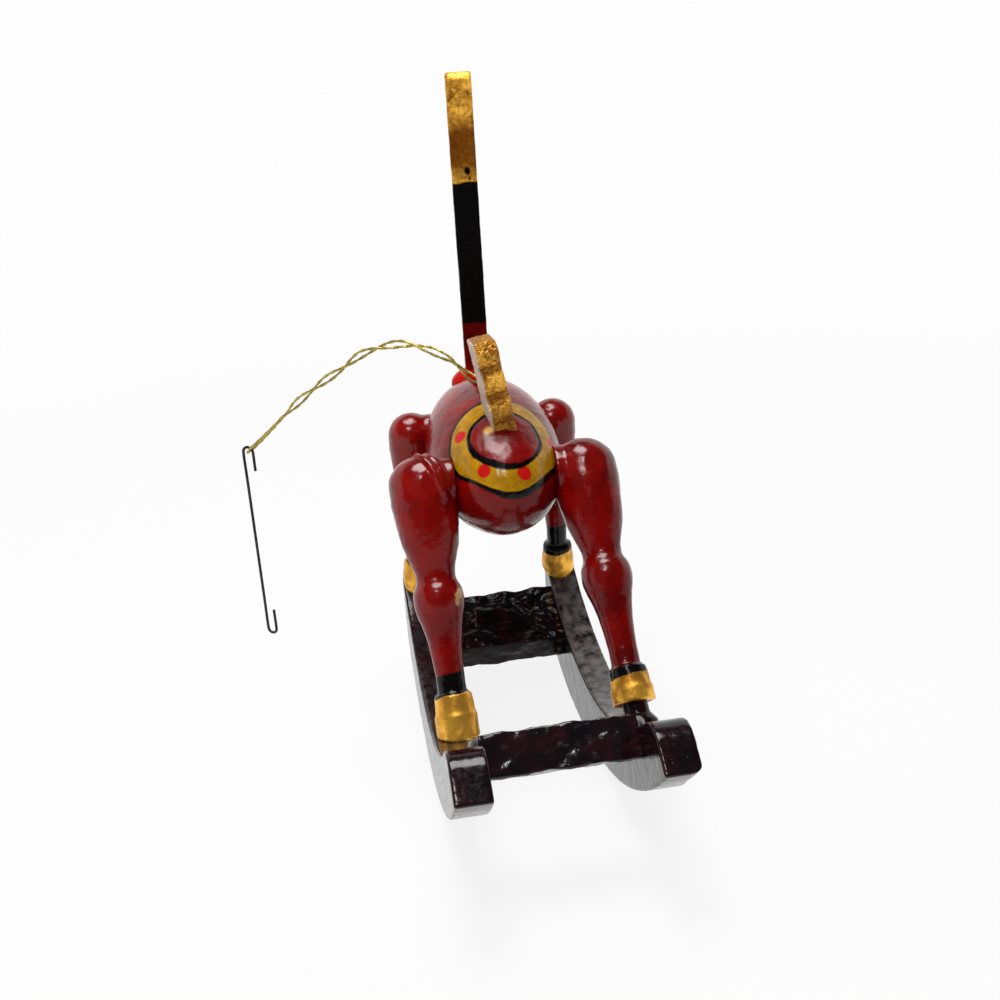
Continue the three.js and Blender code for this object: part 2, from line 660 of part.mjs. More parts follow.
function buildEye() {
  const ring = new THREE.TorusGeometry(eyeRing, EYE_WIRE_RADIUS, WIRE_SIDES, EYE_STEPS).rotateY(Math.PI / 2);
  const ringPlace = new THREE.Matrix4().setPosition(eyeCentre);
  const shank = pin(EYE_WIRE_RADIUS, -EYE_SHANK_LENGTH, EYE_STAND + EYE_WIRE_RADIUS);
  const solid = toSolid(ring, ringPlace).add(toSolid(shank, along(eyeFoot, Z_AXIS)));
  return piece('hanger_eye', solid, brassWire(), ringPlace);
}

// Body, bored for every dowel and for the screw eye

function buildBody() {
  let solid = egg(0);
  for (const { hipDowel } of legs) {
    const bore = dowelCut(HIP_DOWEL_RADIUS, -HIP_DOWEL_IN_BODY, HIP_DOWEL_IN_LEG);
    solid = solid.subtract(toSolid(bore, hipDowel.place));
  }
  const neckBore = dowelCut(NECK_DOWEL_RADIUS, -NECK_DOWEL_DOWN, NECK_DOWEL_UP);
  const tailBore = dowelCut(TAIL_DOWEL_RADIUS, -TAIL_DOWEL_DOWN, TAIL_DOWEL_UP);
  const eyeBore = dowelCut(EYE_WIRE_RADIUS, -EYE_SHANK_LENGTH, EYE_STAND);
  solid = solid
    .subtract(toSolid(neckBore, neckDowelPlace))
    .subtract(toSolid(tailBore, tailFrame))
    .subtract(toSolid(eyeBore, along(eyeFoot, Z_AXIS)));
  return piece('body', solid, redLacquer(), bodyPlace);
}

// Thread: one strand runs out from the knot, round the hook's crook and back, twisted about the other

const crookCentre = new THREE.Vector3(...THREAD_ROUTE[THREAD_ROUTE.length - 1]);

function threadPath() {
  const knot = eyeCentre.clone().add(new THREE.Vector3(KNOT_LENGTH, 0, 0));
  const middle = new THREE.CatmullRomCurve3([
    knot,
    eyeCentre.clone(),
    ...THREAD_ROUTE.map((point) => new THREE.Vector3(...point)),
  ], false, 'centripetal');
  const out = [];
  const back = [];
  for (let station = 0; station < THREAD_STATIONS; station += 1) {
    const share = station / THREAD_STATIONS;
    const point = middle.getPointAt(share);
    const tangent = middle.getTangentAt(share);
    const level = new THREE.Vector3(-tangent.y, tangent.x, 0).normalize();
    const upright = tangent.clone().cross(level);
    const opening = THREE.MathUtils.smoothstep(share, LOOP_START, 1);
    const offset = THREE.MathUtils.lerp(STRAND_OFFSET, LOOP_HALF_WIDTH, opening);
    const angle = 2 * Math.PI * STRAND_TWISTS * Math.min(share / LOOP_START, 1);
    const aside = level.clone().multiplyScalar(offset * Math.cos(angle))
      .addScaledVector(upright, offset * Math.sin(angle));
    out.push(point.clone().add(aside));
    back.unshift(point.clone().sub(aside));
  }
  return new THREE.CatmullRomCurve3([...out, crookCentre, ...back], false, 'centripetal');
}

function buildThread() {
  const strand = toSolid(wire(threadPath(), THREAD_RADIUS, THREAD_STEPS));
  const knotPlace = new THREE.Matrix4().setPosition(eyeCentre.clone().add(new THREE.Vector3(KNOT_LENGTH, 0, 0)));
  const knot = new THREE.SphereGeometry(KNOT_RADIUS, KNOT_SIDES, KNOT_RINGS);
  return piece('hanger_thread', strand.add(toSolid(knot, knotPlace)), goldThread(), knotPlace);
}

// Hook: a straight wire with a small crook at the top and a folded foot, in the upright plane of the thread's end

function hookPlace() {
  const [before, end] = THREAD_ROUTE.slice(-2);
  const inward = new THREE.Vector3(before[0] - end[0], before[1] - end[1], 0).normalize();
  const aside = Z_AXIS.clone().cross(inward);
  return new THREE.Matrix4().makeBasis(inward, aside, Z_AXIS).setPosition(crookCentre);
}

function buildHook() {
  const shankX = -HOOK_CROOK_RADIUS;
  const tipX = HOOK_CROOK_RADIUS;
  const foot = -HOOK_LENGTH;
  const footX = shankX + 2 * HOOK_FOOT_RADIUS;
  const points = [new THREE.Vector3(tipX, 0, -HOOK_TIP_LENGTH), new THREE.Vector3(tipX, 0, -HOOK_TIP_LENGTH / 2)];
  for (let turn = 0; turn <= HOOK_TURN_POINTS; turn += 1) {
    const angle = (Math.PI * turn) / HOOK_TURN_POINTS;
    points.push(new THREE.Vector3(tipX * Math.cos(angle), 0, HOOK_CROOK_RADIUS * Math.sin(angle)));
  }
  for (let step = 1; step < HOOK_SHANK_POINTS; step += 1) {
    points.push(new THREE.Vector3(shankX, 0, (foot * step) / HOOK_SHANK_POINTS));
  }
  for (let turn = 0; turn <= HOOK_TURN_POINTS; turn += 1) {
    const angle = (Math.PI * turn) / HOOK_TURN_POINTS;
    const x = shankX + HOOK_FOOT_RADIUS - HOOK_FOOT_RADIUS * Math.cos(angle);
    points.push(new THREE.Vector3(x, 0, foot - HOOK_FOOT_RADIUS * Math.sin(angle)));
  }
  points.push(new THREE.Vector3(footX, 0, foot + HOOK_FOOT_LENGTH));
  const path = new THREE.CatmullRomCurve3(points, false, 'centripetal');
  const place = hookPlace();
  return piece('hanger_hook', toSolid(wire(path, HOOK_WIRE_RADIUS, HOOK_STEPS), place), darkSteel(), place);
}

// Assembly, moved so that the wooden part stands centred on the origin

const wood = new THREE.Group();
wood.add(
  buildBody(),
  buildNeck(),
  buildNeckDowel(),
  buildTail(),
  buildTailDowel(),
  ...legs.map((entry) => entry.leg),
  ...buildDowels(),
  buildRocker('left', -1),
  buildRocker('right', 1),
  ...bars.map(buildBar),
  buildEye(),
);
const hanger = new THREE.Group();
hanger.add(buildThread(), buildHook());

const box = new THREE.Box3().setFromObject(wood, true);
const middle = box.getCenter(new THREE.Vector3());
const ornament = new THREE.Group();
ornament.name = 'rocking_reindeer_ornament';
ornament.add(wood, hanger);
ornament.position.set(-middle.x, -middle.y, -box.min.z);

export default ornament;
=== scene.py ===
"""Looks of the rocking reindeer ornament: lacquered wooden pieces, a gold thread and a wire hook."""

import math

import bmesh
import bpy
from mathutils import Matrix, Vector, noise


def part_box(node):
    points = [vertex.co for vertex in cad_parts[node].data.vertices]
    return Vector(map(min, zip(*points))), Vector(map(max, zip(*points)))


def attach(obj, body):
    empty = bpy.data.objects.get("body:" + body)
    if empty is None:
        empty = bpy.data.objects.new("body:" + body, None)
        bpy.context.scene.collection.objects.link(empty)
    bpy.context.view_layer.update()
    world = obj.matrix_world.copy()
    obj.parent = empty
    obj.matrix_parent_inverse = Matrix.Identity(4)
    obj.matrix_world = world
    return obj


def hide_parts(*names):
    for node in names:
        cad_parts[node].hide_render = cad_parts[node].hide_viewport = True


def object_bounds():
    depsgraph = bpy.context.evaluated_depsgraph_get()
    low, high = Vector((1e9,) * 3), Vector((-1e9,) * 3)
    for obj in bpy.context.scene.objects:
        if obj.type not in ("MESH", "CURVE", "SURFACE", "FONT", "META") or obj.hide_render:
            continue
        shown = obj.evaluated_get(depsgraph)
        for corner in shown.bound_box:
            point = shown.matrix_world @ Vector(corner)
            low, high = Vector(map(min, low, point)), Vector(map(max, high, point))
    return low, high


bl_info = {
    "name": "Rocking Reindeer Ornament",
    "version": (1, 0, 0),
    "blender": (4, 5, 0),
    "location": "View3D > Sidebar > Ornament",
    "description": "Dresses the solids of a painted wooden rocking reindeer",
    "category": "Object",
}

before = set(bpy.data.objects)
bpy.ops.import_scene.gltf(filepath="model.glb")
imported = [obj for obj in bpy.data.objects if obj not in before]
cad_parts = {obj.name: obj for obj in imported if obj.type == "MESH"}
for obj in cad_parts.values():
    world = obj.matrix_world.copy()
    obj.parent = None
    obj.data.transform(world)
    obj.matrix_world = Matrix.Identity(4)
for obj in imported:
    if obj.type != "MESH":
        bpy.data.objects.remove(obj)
CAD_LOW, CAD_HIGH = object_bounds()

MM = 0.001
ROOT = "ornament"
X_AXIS = Vector((1, 0, 0))
Y_AXIS = Vector((0, 1, 0))
Z_AXIS = Vector((0, 0, 1))

# Sizes in millimetres, as the solids have them before they are centred on the origin
BODY_RADIUS = 13
BODY_HALF_LENGTH = 25
BODY_CENTRE = Vector((0, 10.95, 55.45))
BODY_TILT = math.radians(5.6)
BODY_AXIS = Vector((0, math.cos(BODY_TILT), math.sin(BODY_TILT)))
BODY_UP = Vector((0, -math.sin(BODY_TILT), math.cos(BODY_TILT)))

ROCKER_SPACING = 32
ROCKER_THICKNESS = 6.1
ROCKER_DEPTH = 12.1
ROCKER_UNDER_RADIUS = 88
ROCKER_TOP_RADIUS = 70
ROCKER_TOP_BACK = 5.8
ROCKER_REAR_REACH = 63.5
ROCKER_FRONT_REACH = 32
ROCKER_FLAT = 16
ROCKER_REAR_CUT = 8
ROCKER_REAR_ROUND = 5
ROCKER_FRONT_ROUND = 3
ROCKER_TOE_ROUND = 4.5

BARS = {
    "rear": {
        "at": -45.75, "depth": 6.5, "height": 7.2, "drop": -2.3,
        "gloss": 0.5, "gathered_ends": (-1, 1), "worn": 0,
    },
    "front": {
        "at": 18.3, "depth": 15.4, "height": 6, "drop": 1,
        "gloss": 0.13, "gathered_ends": (), "worn": 1.6,
    },
}
# Lacquer gathered at the ends of a bar
FILLET_RADII = (2.9, 1.7, 1.7)

REAR_LEG = {
    "hip_along": -13.5, "hip_rise": 0.8, "seat": 2, "cheek": 5, "thigh": 6.3, "dome": 5.8, "waist": 3.6,
    "waist_height": 29.8, "knee": 4.65, "knee_height": 24, "shin": 2.6, "hoof": 3.9, "hoof_step": 3.8,
    "hoof_top": 3.4, "hoof_height": 7.5, "hoof_at": -25,
}
FRONT_LEG = {
    "hip_along": 12.8, "hip_rise": 0, "seat": 1.1, "cheek": 4, "thigh": 4.7, "dome": 4.7, "waist": 2.9,
    "waist_height": 22.6, "knee": 3.6, "knee_height": 18.4, "shin": 2.15, "hoof": 3.5, "hoof_step": 2.9,
    "hoof_top": 3.1, "hoof_height": 5.8, "hoof_at": 28.9,
}
LEGS = {
    "rear_left": {"leg": REAR_LEG, "side": -1, "back": 0, "aside": -1.3},
    "rear_right": {"leg": REAR_LEG, "side": 1, "back": 8, "aside": 1.5},
    "front_left": {"leg": FRONT_LEG, "side": -1, "back": 0, "aside": 0},
    "front_right": {"leg": FRONT_LEG, "side": 1, "back": 0, "aside": 0},
}
HOOF_SPACING = 31
BAND_HEIGHT = 3.8
PEG_RADIUS = 1.9

NECK_ALONG = 20
NECK_ASIDE = 0.6
NECK_TURN = math.radians(-6.5)
NECK_THICKNESS = 4.9
NECK_WIDTH = 9.5
NECK_LENGTH = 23
NECK_SWEEP = 2.6
HEAD_HEIGHT = 17
MUZZLE_LENGTH = 10.5
MUZZLE_DEPTH = 7
ANTLER_HEIGHT = 21
ANTLER_REACH = 11
ANTLER_BEAM = 4.4
ANTLER_TINES = 3
TINE_STEP = 2
TINE_TIP = 1.4

TAIL_ALONG = -10.6
TAIL_ASIDE = 0.2
TAIL_LEAN = math.radians(-9.4)
TAIL_TURN = math.radians(3)
TAIL_THICKNESS = 4.4
TAIL_HEIGHT = 15.2
TAIL_FOOT = 7
TAIL_TOP_WIDTH = 5
TAIL_RAKE = 1.5
TAIL_SCALLOPS = 3
TAIL_SCALLOP = 2.2

EYE_ALONG = -1
EYE_WIRE = 0.4
EYE_RING = 1.8
EYE_STAND = 0.5
EYE_SHANK = 6

THREAD_RADIUS = 0.3
STRAND_OFFSET = 0.6
STRAND_TWISTS = 3
LOOP_START = 0.8
LOOP_HALF_WIDTH = 1.7
KNOT_LENGTH = 2.2
THREAD_STATIONS = 30
THREAD_ROUTE = [
    (-2.7, 10, 71), (-6.8, 10.8, 74.9), (-12.2, 13.5, 77.4), (-15.9, 15.3, 77.9), (-22.4, 18.5, 76.2),
    (-27.7, 21.2, 72.5), (-33.7, 24.1, 68.2), (-38.6, 26.5, 63.9), (-43, 28.7, 59.5), (-48.4, 31.8, 54.2),
]
# The hook's wire is dressed finer than its solid
HOOK_WIRE = 0.3
HOOK_CROOK = 1.15
HOOK_LENGTH = 41
HOOK_TIP = 4
HOOK_FOOT = 1
HOOK_FOOT_LENGTH = 4.6

# The camera, fitted to the photograph
CAMERA_PLACE = Vector((-29.907, -202.425, 131.051))
CAMERA_TURN = (69.06, 3.428, -9.196)
CAMERA_LENS = 43.2
CAMERA_SENSOR = 36
CAMERA_NEAR = 0.005

BODY_LOW, BODY_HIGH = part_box("body")
ROW_SHIFT = (BODY_LOW + BODY_HIGH) / (2 * MM) - BODY_CENTRE


def length_property(label, words, value):
    return bpy.props.FloatProperty(name=label, description=words, default=value, min=0, unit="LENGTH")


def colour_property(label, words, value):
    return bpy.props.FloatVectorProperty(
        name=label, description=words, default=value, subtype="COLOR", size=3, min=0, max=1
    )


class OrnamentSizes(bpy.types.PropertyGroup):
    """Sizes of the surface detail"""

    voxel: length_property("Skin spacing", "Spacing of the even skin over a sawn or joined piece", 0.00025)
    lump: length_property("Lacquer lump", "Height of the lumps that brushed lacquer leaves", 0.00008)
    bar_lump: length_property("Bar lump", "Height of the lumps on the roughly cut stretchers", 0.0004)
    ring_outer: length_property("Ring outer radius", "Outer radius of the ring round the tail", 0.011)
    ring_inner: length_property("Ring inner radius", "Inner radius of the ring round the tail", 0.0073)
    ring_line: length_property("Ring outline", "Width of the black outline of the painted ring", 0.0007)
    dot: length_property("Dot radius", "Radius of the dots on the painted ring", 0.0013)


class OrnamentColours(bpy.types.PropertyGroup):
    """Paints, lacquers and metals"""

    red: colour_property("Red lacquer", "Lit colour of the red lacquer", (0.2, 0.002, 0.001))
    deep_red: colour_property("Deep red lacquer", "Red lacquer where it lies thick", (0.11, 0.001, 0.0006))
    dot: colour_property("Dot red", "Bright red of the dots and of the neck's foot", (0.4, 0.006, 0.004))
    black: colour_property("Black lacquer", "Plum black of the rockers", (0.004, 0.002, 0.003))
    plum: colour_property("Plum lacquer", "The black lacquer where it lies thin", (0.016, 0.003, 0.005))
    band: colour_property("Band black", "Black of the bands and the mane", (0.002, 0.0015, 0.0015))
    gold: colour_property("Gold paint", "Bright gold of the hooves, tail and antlers", (1.0, 0.53, 0.07))
    amber: colour_property("Amber paint", "Dark gold in the brush marks", (0.26, 0.09, 0.008))
    # Dark gold painted as shade on the middle of the antlers' rear edge
    antler_shade: colour_property("Rust gold", "Stain under the antlers' thinnest gold", (0.13, 0.03, 0.001))
    mustard: colour_property("Mustard paint", "Yellow of the ring round the tail", (0.39, 0.19, 0.003))
    thread: colour_property("Thread gold", "Gold of the metallic thread", (0.56, 0.43, 0.09))
    brass: colour_property("Brass wire", "Colour of the screw eye", (0.6, 0.4, 0.13))
    steel: colour_property("Dark steel", "Colour of the hook's wire", (0.03, 0.028, 0.026))
    wood: colour_property("Bare wood", "Pale wood of the dowels and of chipped paint", (0.45, 0.26, 0.1))
    # Pale colour painted as a reflection on the tail's left face
    left_face_reflection: colour_property("Primer", "Pale primer on the tail's left face", (0.5, 0.42, 0.36))
    dust: colour_property("Dust", "Pale dust caught in the black lacquer", (0.16, 0.14, 0.13))


class StageSettings(bpy.types.PropertyGroup):
    """Floor and light"""

    floor: colour_property("Floor", "Colour of the pale floor", (0.65, 0.65, 0.65))
    fill: bpy.props.FloatProperty(
        name="Broad fill", description="Strength of the broad light from above", default=1.05, min=0
    )
    top_box: bpy.props.FloatProperty(
        name="Top box", description="Power of the soft box overhead", default=2.2, min=0, unit="POWER"
    )
    rear_box: bpy.props.FloatProperty(
        name="Rear box", description="Power of the soft box behind", default=0.5, min=0, unit="POWER"
    )


# Places


def placed(origin, axes):
    """World matrix of a piece's own frame, from its origin in millimetres and its three unit axes."""
    turn = Matrix(axes).transposed().to_4x4()
    return Matrix.Translation((origin + ROW_SHIFT) * MM) @ turn


LEVEL_AXES = (X_AXIS, Y_AXIS, Z_AXIS)
SIDE_AXES = (Y_AXIS, Z_AXIS, X_AXIS)


def body_radius_at(along):
    return BODY_RADIUS * math.sqrt(1 - (along / BODY_HALF_LENGTH) ** 2)


def body_point(along, rise, across=0):
    point = BODY_CENTRE + BODY_AXIS * along + BODY_UP * rise
    return point + X_AXIS * across


# Centres of the rocker's upper and lower arcs: forward and up
TOP_CENTRE = Vector((-ROCKER_TOP_BACK, ROCKER_DEPTH + ROCKER_TOP_RADIUS))
UNDER_CENTRE = Vector((0, math.sqrt(ROCKER_UNDER_RADIUS**2 - (ROCKER_FLAT / 2) ** 2)))


def rocker_top(forward):
    """Height of the rocker's upper edge at a place along it."""
    return TOP_CENTRE.y - math.sqrt(ROCKER_TOP_RADIUS**2 - (forward - TOP_CENTRE.x) ** 2)


def rocker_under(forward):
    """Height of the rocker's round underside at a place along it."""
    return UNDER_CENTRE.y - math.sqrt(ROCKER_UNDER_RADIUS**2 - forward**2)


def rocker_up(forward):
    """Direction straight out of the rocker's upper edge."""
    return Vector((0, TOP_CENTRE.x - forward, TOP_CENTRE.y - rocker_top(forward))).normalized()


# Paths


def smooth_path(points, steps):
    """Points along a centripetal spline through the given points."""
    ends = [points[0] * 2 - points[1], *points, points[-1] * 2 - points[-2]]
    path = []
    for start in range(len(points) - 1):
        a, b, c, d = ends[start : start + 4]
        knots = [0.0]
        for near, far in ((a, b), (b, c), (c, d)):
            knots.append(knots[-1] + math.sqrt((far - near).length))
        for step in range(steps):
            t = knots[1] + (knots[2] - knots[1]) * step / steps
            ab = a.lerp(b, (t - knots[0]) / (knots[1] - knots[0]))
            bc = b.lerp(c, (t - knots[1]) / (knots[2] - knots[1]))
            cd = c.lerp(d, (t - knots[2]) / (knots[3] - knots[2]))
            abc = ab.lerp(bc, (t - knots[0]) / (knots[2] - knots[0]))
            bcd = bc.lerp(cd, (t - knots[1]) / (knots[3] - knots[1]))
            path.append(abc.lerp(bcd, (t - knots[1]) / (knots[2] - knots[1])))
    path.append(points[-1].copy())
    return path


def path_length(path):
    return sum((far - near).length for near, far in zip(path, path[1:]))


def even_path(path, count):
    """The path again, as count equal steps."""
    whole = path_length(path)
    even = [path[0].copy()]
    walked = 0.0
    for near, far in zip(path, path[1:]):
        step = (far - near).length
        while len(even) < count and walked + step >= whole * len(even) / count:
            even.append(near.lerp(far, (whole * len(even) / count - walked) / step))
        walked += step
    even.append(path[-1].copy())
    return even


class Outline:
    """A closed side view drawn in millimetres."""

    curve_steps = 8
    arc_steps = 40

    def __init__(self, x, y):
        self.points = [Vector((x, y))]

    def line(self, x, y):
        self.points.append(Vector((x, y)))

    def curve(self, bend_x, bend_y, x, y):
        start, bend, end = self.points[-1], Vector((bend_x, bend_y)), Vector((x, y))
        for step in range(1, self.curve_steps + 1):
            share = step / self.curve_steps
            self.points.append(start.lerp(bend, share).lerp(bend.lerp(end, share), share))

    def arc(self, centre, radius, start, end):
        """An arc under its centre, between two places along."""
        first, last = math.asin((start - centre.x) / radius), math.asin((end - centre.x) / radius)
        for step in range(self.arc_steps + 1):
            angle = first + (last - first) * step / self.arc_steps
            self.points.append(centre + Vector((math.sin(angle), -math.cos(angle))) * radius)


# Meshes


def mesh_of(name, work):
    bmesh.ops.recalc_face_normals(work, faces=work.faces)
    mesh = bpy.data.meshes.new(name)
    work.to_mesh(mesh)
    work.free()
    mesh.shade_smooth()
    return mesh


def add_turned(work, profile, sides, place=None):
    """Adds a turned form, from (radius, height) pairs in millimetres."""
    rings = []
    for radius, height in profile:
        count = sides if radius > 0 else 1
        ring = []
        for side in range(count):
            angle = 2 * math.pi * side / sides
            point = Vector((radius * math.cos(angle), radius * math.sin(angle), height)) * MM
            ring.append(work.verts.new(place @ point if place else point))
        rings.append(ring)
    for lower, upper in zip(rings, rings[1:]):
        for side in range(sides):
            ahead = (side + 1) % sides
            corners = [lower[side % len(lower)], lower[ahead % len(lower)]]
            corners += [upper[ahead % len(upper)], upper[side % len(upper)]]
            work.faces.new(list(dict.fromkeys(corners)))


def add_egg(work, centre, radii):
    """Adds a rounded lump with the given radii in millimetres, at a centre in metres."""
    steps = 24
    profile = [(0, -1)]
    for step in range(1, steps):
        angle = math.pi * step / steps
        profile.append((math.sin(angle), -math.cos(angle)))
    profile.append((0, 1))
    add_turned(work, profile, 2 * steps, Matrix.Translation(centre) @ Matrix.Diagonal((*radii, 1)))


def add_sawn(work, points, thickness):
    """Adds a board with the given side view, its thickness along the third axis."""
    corners = [work.verts.new((point.x * MM, point.y * MM, -thickness / 2 * MM)) for point in points]
    face = work.faces.new(corners)
    grown = bmesh.ops.extrude_face_region(work, geom=[face])
    lifted = [item for item in grown["geom"] if isinstance(item, bmesh.types.BMVert)]
    bmesh.ops.translate(work, verts=lifted, vec=Vector((0, 0, thickness * MM)))


def add_swept(work, path, radius_at, sides):
    """Adds a tube along a path in millimetres. radius_at(distance, angle) gives its section."""
    tangents = []
    for index in range(len(path)):
        near, far = path[max(index - 1, 0)], path[min(index + 1, len(path) - 1)]
        tangents.append((far - near).normalized())
    across = tangents[0].orthogonal().normalized()
    walked = 0.0
    rings = []
    for index, (point, tangent) in enumerate(zip(path, tangents)):
        across = (across - tangent * across.dot(tangent)).normalized()
        other = tangent.cross(across)
        walked += (point - path[index - 1]).length if index else 0
        ring = []
        for side in range(sides):
            angle = 2 * math.pi * side / sides
            out = across * math.cos(angle) + other * math.sin(angle)
            ring.append(work.verts.new((point + out * radius_at(walked, angle)) * MM))
        rings.append(ring)
    for lower, upper in zip(rings, rings[1:]):
        for side in range(sides):
            ahead = (side + 1) % sides
            work.faces.new((lower[side], lower[ahead], upper[ahead], upper[side]))
    work.faces.new(rings[0])
    work.faces.new(rings[-1])


def round_section(radius):
    """Section of a plain round tube."""
    return lambda distance, angle: radius


def lacquered(raw, voxel, passes, lump):
    """The raw form under an even skin: edges rounded over, and slightly lumpy as brushed lacquer is."""
    form = bpy.data.objects.new("form", raw)
    bpy.context.scene.collection.objects.link(form)
    skin = form.modifiers.new("skin", "REMESH")
    skin.mode = "VOXEL"
    skin.voxel_size = voxel
    skin.use_smooth_shade = True
    rounding = form.modifiers.new("rounding", "SMOOTH")
    rounding.iterations = passes
    bpy.context.view_layer.update()
    mesh = bpy.data.meshes.new_from_object(form.evaluated_get(bpy.context.evaluated_depsgraph_get()))
    mesh.name = raw.name
    bpy.data.objects.remove(form)
    return lumpy(mesh, lump)


# Lumps to the metre, broad and fine. The fine ones are lower, and no higher than a limit in metres
LUMP_PITCH = 260
FINE_PITCH = 780
FINE_SHARE = 2 / 3
FINE_LIMIT = 0.00013


def lumpy(mesh, lump):
    """The mesh with lumps of the given height."""
    fine = min(lump * FINE_SHARE, FINE_LIMIT)
    normals = [vertex.normal.copy() for vertex in mesh.vertices]
    for vertex, normal in zip(mesh.vertices, normals):
        swell = noise.noise(vertex.co * LUMP_PITCH) * lump + noise.noise(vertex.co * FINE_PITCH) * fine
        vertex.co += normal * swell
    mesh.update()
    return mesh


def show(name, mesh, place, material, nodes, body=ROOT):
    """Puts a piece in place, where it stands for its solids and moves with its body."""
    piece = bpy.data.objects.new(name, mesh)
    bpy.context.scene.collection.objects.link(piece)
    piece.matrix_world = place
    mesh.materials.clear()
    mesh.materials.append(material)
    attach(piece, body)
    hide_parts(*nodes)
    return piece


# Shader nodes


def feed(tree, socket, value):
    """Links a socket to another one or gives it a constant."""
    if isinstance(value, bpy.types.NodeSocket):
        tree.links.new(value, socket)
    else:
        socket.default_value = value


def node(tree, kind, inputs=None, **settings):
    made = tree.nodes.new(kind)
    for name, value in settings.items():
        setattr(made, name, value)
    for socket, value in (inputs or {}).items():
        feed(tree, made.inputs[socket], value)
    return made


def sums(tree, operation, first, second=0.0):
    return node(tree, "ShaderNodeMath", {0: first, 1: second}, operation=operation).outputs[0]


def ramp(tree, value, low, high, start=0.0, end=1.0):
    inputs = {"Value": value, "From Min": low, "From Max": high, "To Min": start, "To Max": end}
    return node(tree, "ShaderNodeMapRange", inputs).outputs[0]


def grain(tree, point, scale, detail=3):
    """Noise about one half, of the given number of bumps to the metre."""
    inputs = {"Vector": point, "Scale": scale, "Detail": detail}
    return node(tree, "ShaderNodeTexNoise", inputs).outputs[0]


# Bands that noise mostly stays within
MIDDLE = {"low": 0.35, "high": 0.65}
WIDE_MIDDLE = {"low": 0.3, "high": 0.7}


def paint_over(tree, mask, below, above):
    return node(tree, "ShaderNodeMix", {0: mask, 6: below, 7: above}, data_type="RGBA").outputs[2]


def opaque(colour, share=1):
    """A paint's colour, darkened or brightened to a share of it."""
    return (*(min(1, value * share) for value in colour), 1)


def part_way(dark, light, share):
    return [low + (high - low) * share for low, high in zip(dark, light)]


def new_group(name, inputs, outputs):
    group = bpy.data.node_groups.new(name, "ShaderNodeTree")
    for label, kind, value in inputs:
        socket = group.interface.new_socket(name=label, in_out="INPUT", socket_type=kind)
        if value is not None:
            socket.default_value = value
    for label, kind in outputs:
        group.interface.new_socket(name=label, in_out="OUTPUT", socket_type=kind)
    return group, group.nodes.new("NodeGroupInput").outputs, group.nodes.new("NodeGroupOutput").inputs


VECTOR = "NodeSocketVector"
FLOAT = "NodeSocketFloat"
COLOUR = "NodeSocketColor"

# How many times finer than the broad film its crinkle is
FILM_FINENESS = 9
# Bumps to the metre in the waver of a painter's hand
HAND_SCALE = 420
# Broad strokes of the gold brush against its grain, and the grain's share of the brightness
STROKE_SCALE = 0.22
GRAIN_SHARE = 0.8
# The full middle of a speck, as a share of its size
SPECK_CORE = 0.6


def film_group():
    """Brushed lacquer: where it lies thick, how rough it is and how its surface rolls."""
    group, given, made = new_group(
        "Lacquer film",
        [("Vector", VECTOR, None), ("Scale", FLOAT, 150), ("Crinkle", FLOAT, 0.3)],
        [("Thin", FLOAT), ("Roughness", FLOAT), ("Height", FLOAT)],
    )
    broad = grain(group, given["Vector"], given["Scale"])
    close = sums(group, "MULTIPLY", given["Scale"], FILM_FINENESS)
    fine = grain(group, given["Vector"], close, detail=2)
    group.links.new(ramp(group, broad, **MIDDLE), made["Thin"])
    group.links.new(ramp(group, fine, **WIDE_MIDDLE, start=0.1, end=0.24), made["Roughness"])
    roll = sums(group, "MULTIPLY", fine, given["Crinkle"])
    group.links.new(sums(group, "ADD", broad, roll), made["Height"])
    return group


def edge_group():
    """A painted edge that wavers as a hand does: 1 where the level is under the edge."""
    group, given, made = new_group(
        "Wavering edge",
        [
            ("Vector", VECTOR, None),
            ("Level", FLOAT, 0),
            ("Edge", FLOAT, 0),
            ("Waver", FLOAT, 0.001),
            ("Blur", FLOAT, 0.00012),
        ],
        [("Inside", FLOAT)],
    )
    hand = grain(group, given["Vector"], HAND_SCALE)
    shift = sums(group, "MULTIPLY", sums(group, "SUBTRACT", hand, 0.5), given["Waver"])
    level = sums(group, "ADD", given["Level"], shift)
    low = sums(group, "SUBTRACT", given["Edge"], given["Blur"])
    high = sums(group, "ADD", given["Edge"], given["Blur"])
    group.links.new(ramp(group, level, low, high, start=1, end=0), made["Inside"])
    return group


def gold_group():
    """Gold paint laid on with a stiff brush: bright ridges over darker amber."""
    group, given, made = new_group(
        "Gold brush",
        [("Vector", VECTOR, None), ("Gold", COLOUR, None), ("Amber", COLOUR, None), ("Scale", FLOAT, 1200)],
        [("Colour", COLOUR), ("Roughness", FLOAT), ("Height", FLOAT)],
    )
    strokes = grain(group, given["Vector"], sums(group, "MULTIPLY", given["Scale"], STROKE_SCALE))
    fine = grain(group, given["Vector"], given["Scale"])
    both = sums(group, "ADD", strokes, sums(group, "MULTIPLY", fine, GRAIN_SHARE))
    bright = ramp(group, both, low=0.68, high=1.1)
    group.links.new(paint_over(group, bright, given["Amber"], given["Gold"]), made["Colour"])
    group.links.new(ramp(group, fine, **WIDE_MIDDLE, start=0.5, end=0.28), made["Roughness"])
    group.links.new(sums(group, "ADD", fine, strokes), made["Height"])
    return group


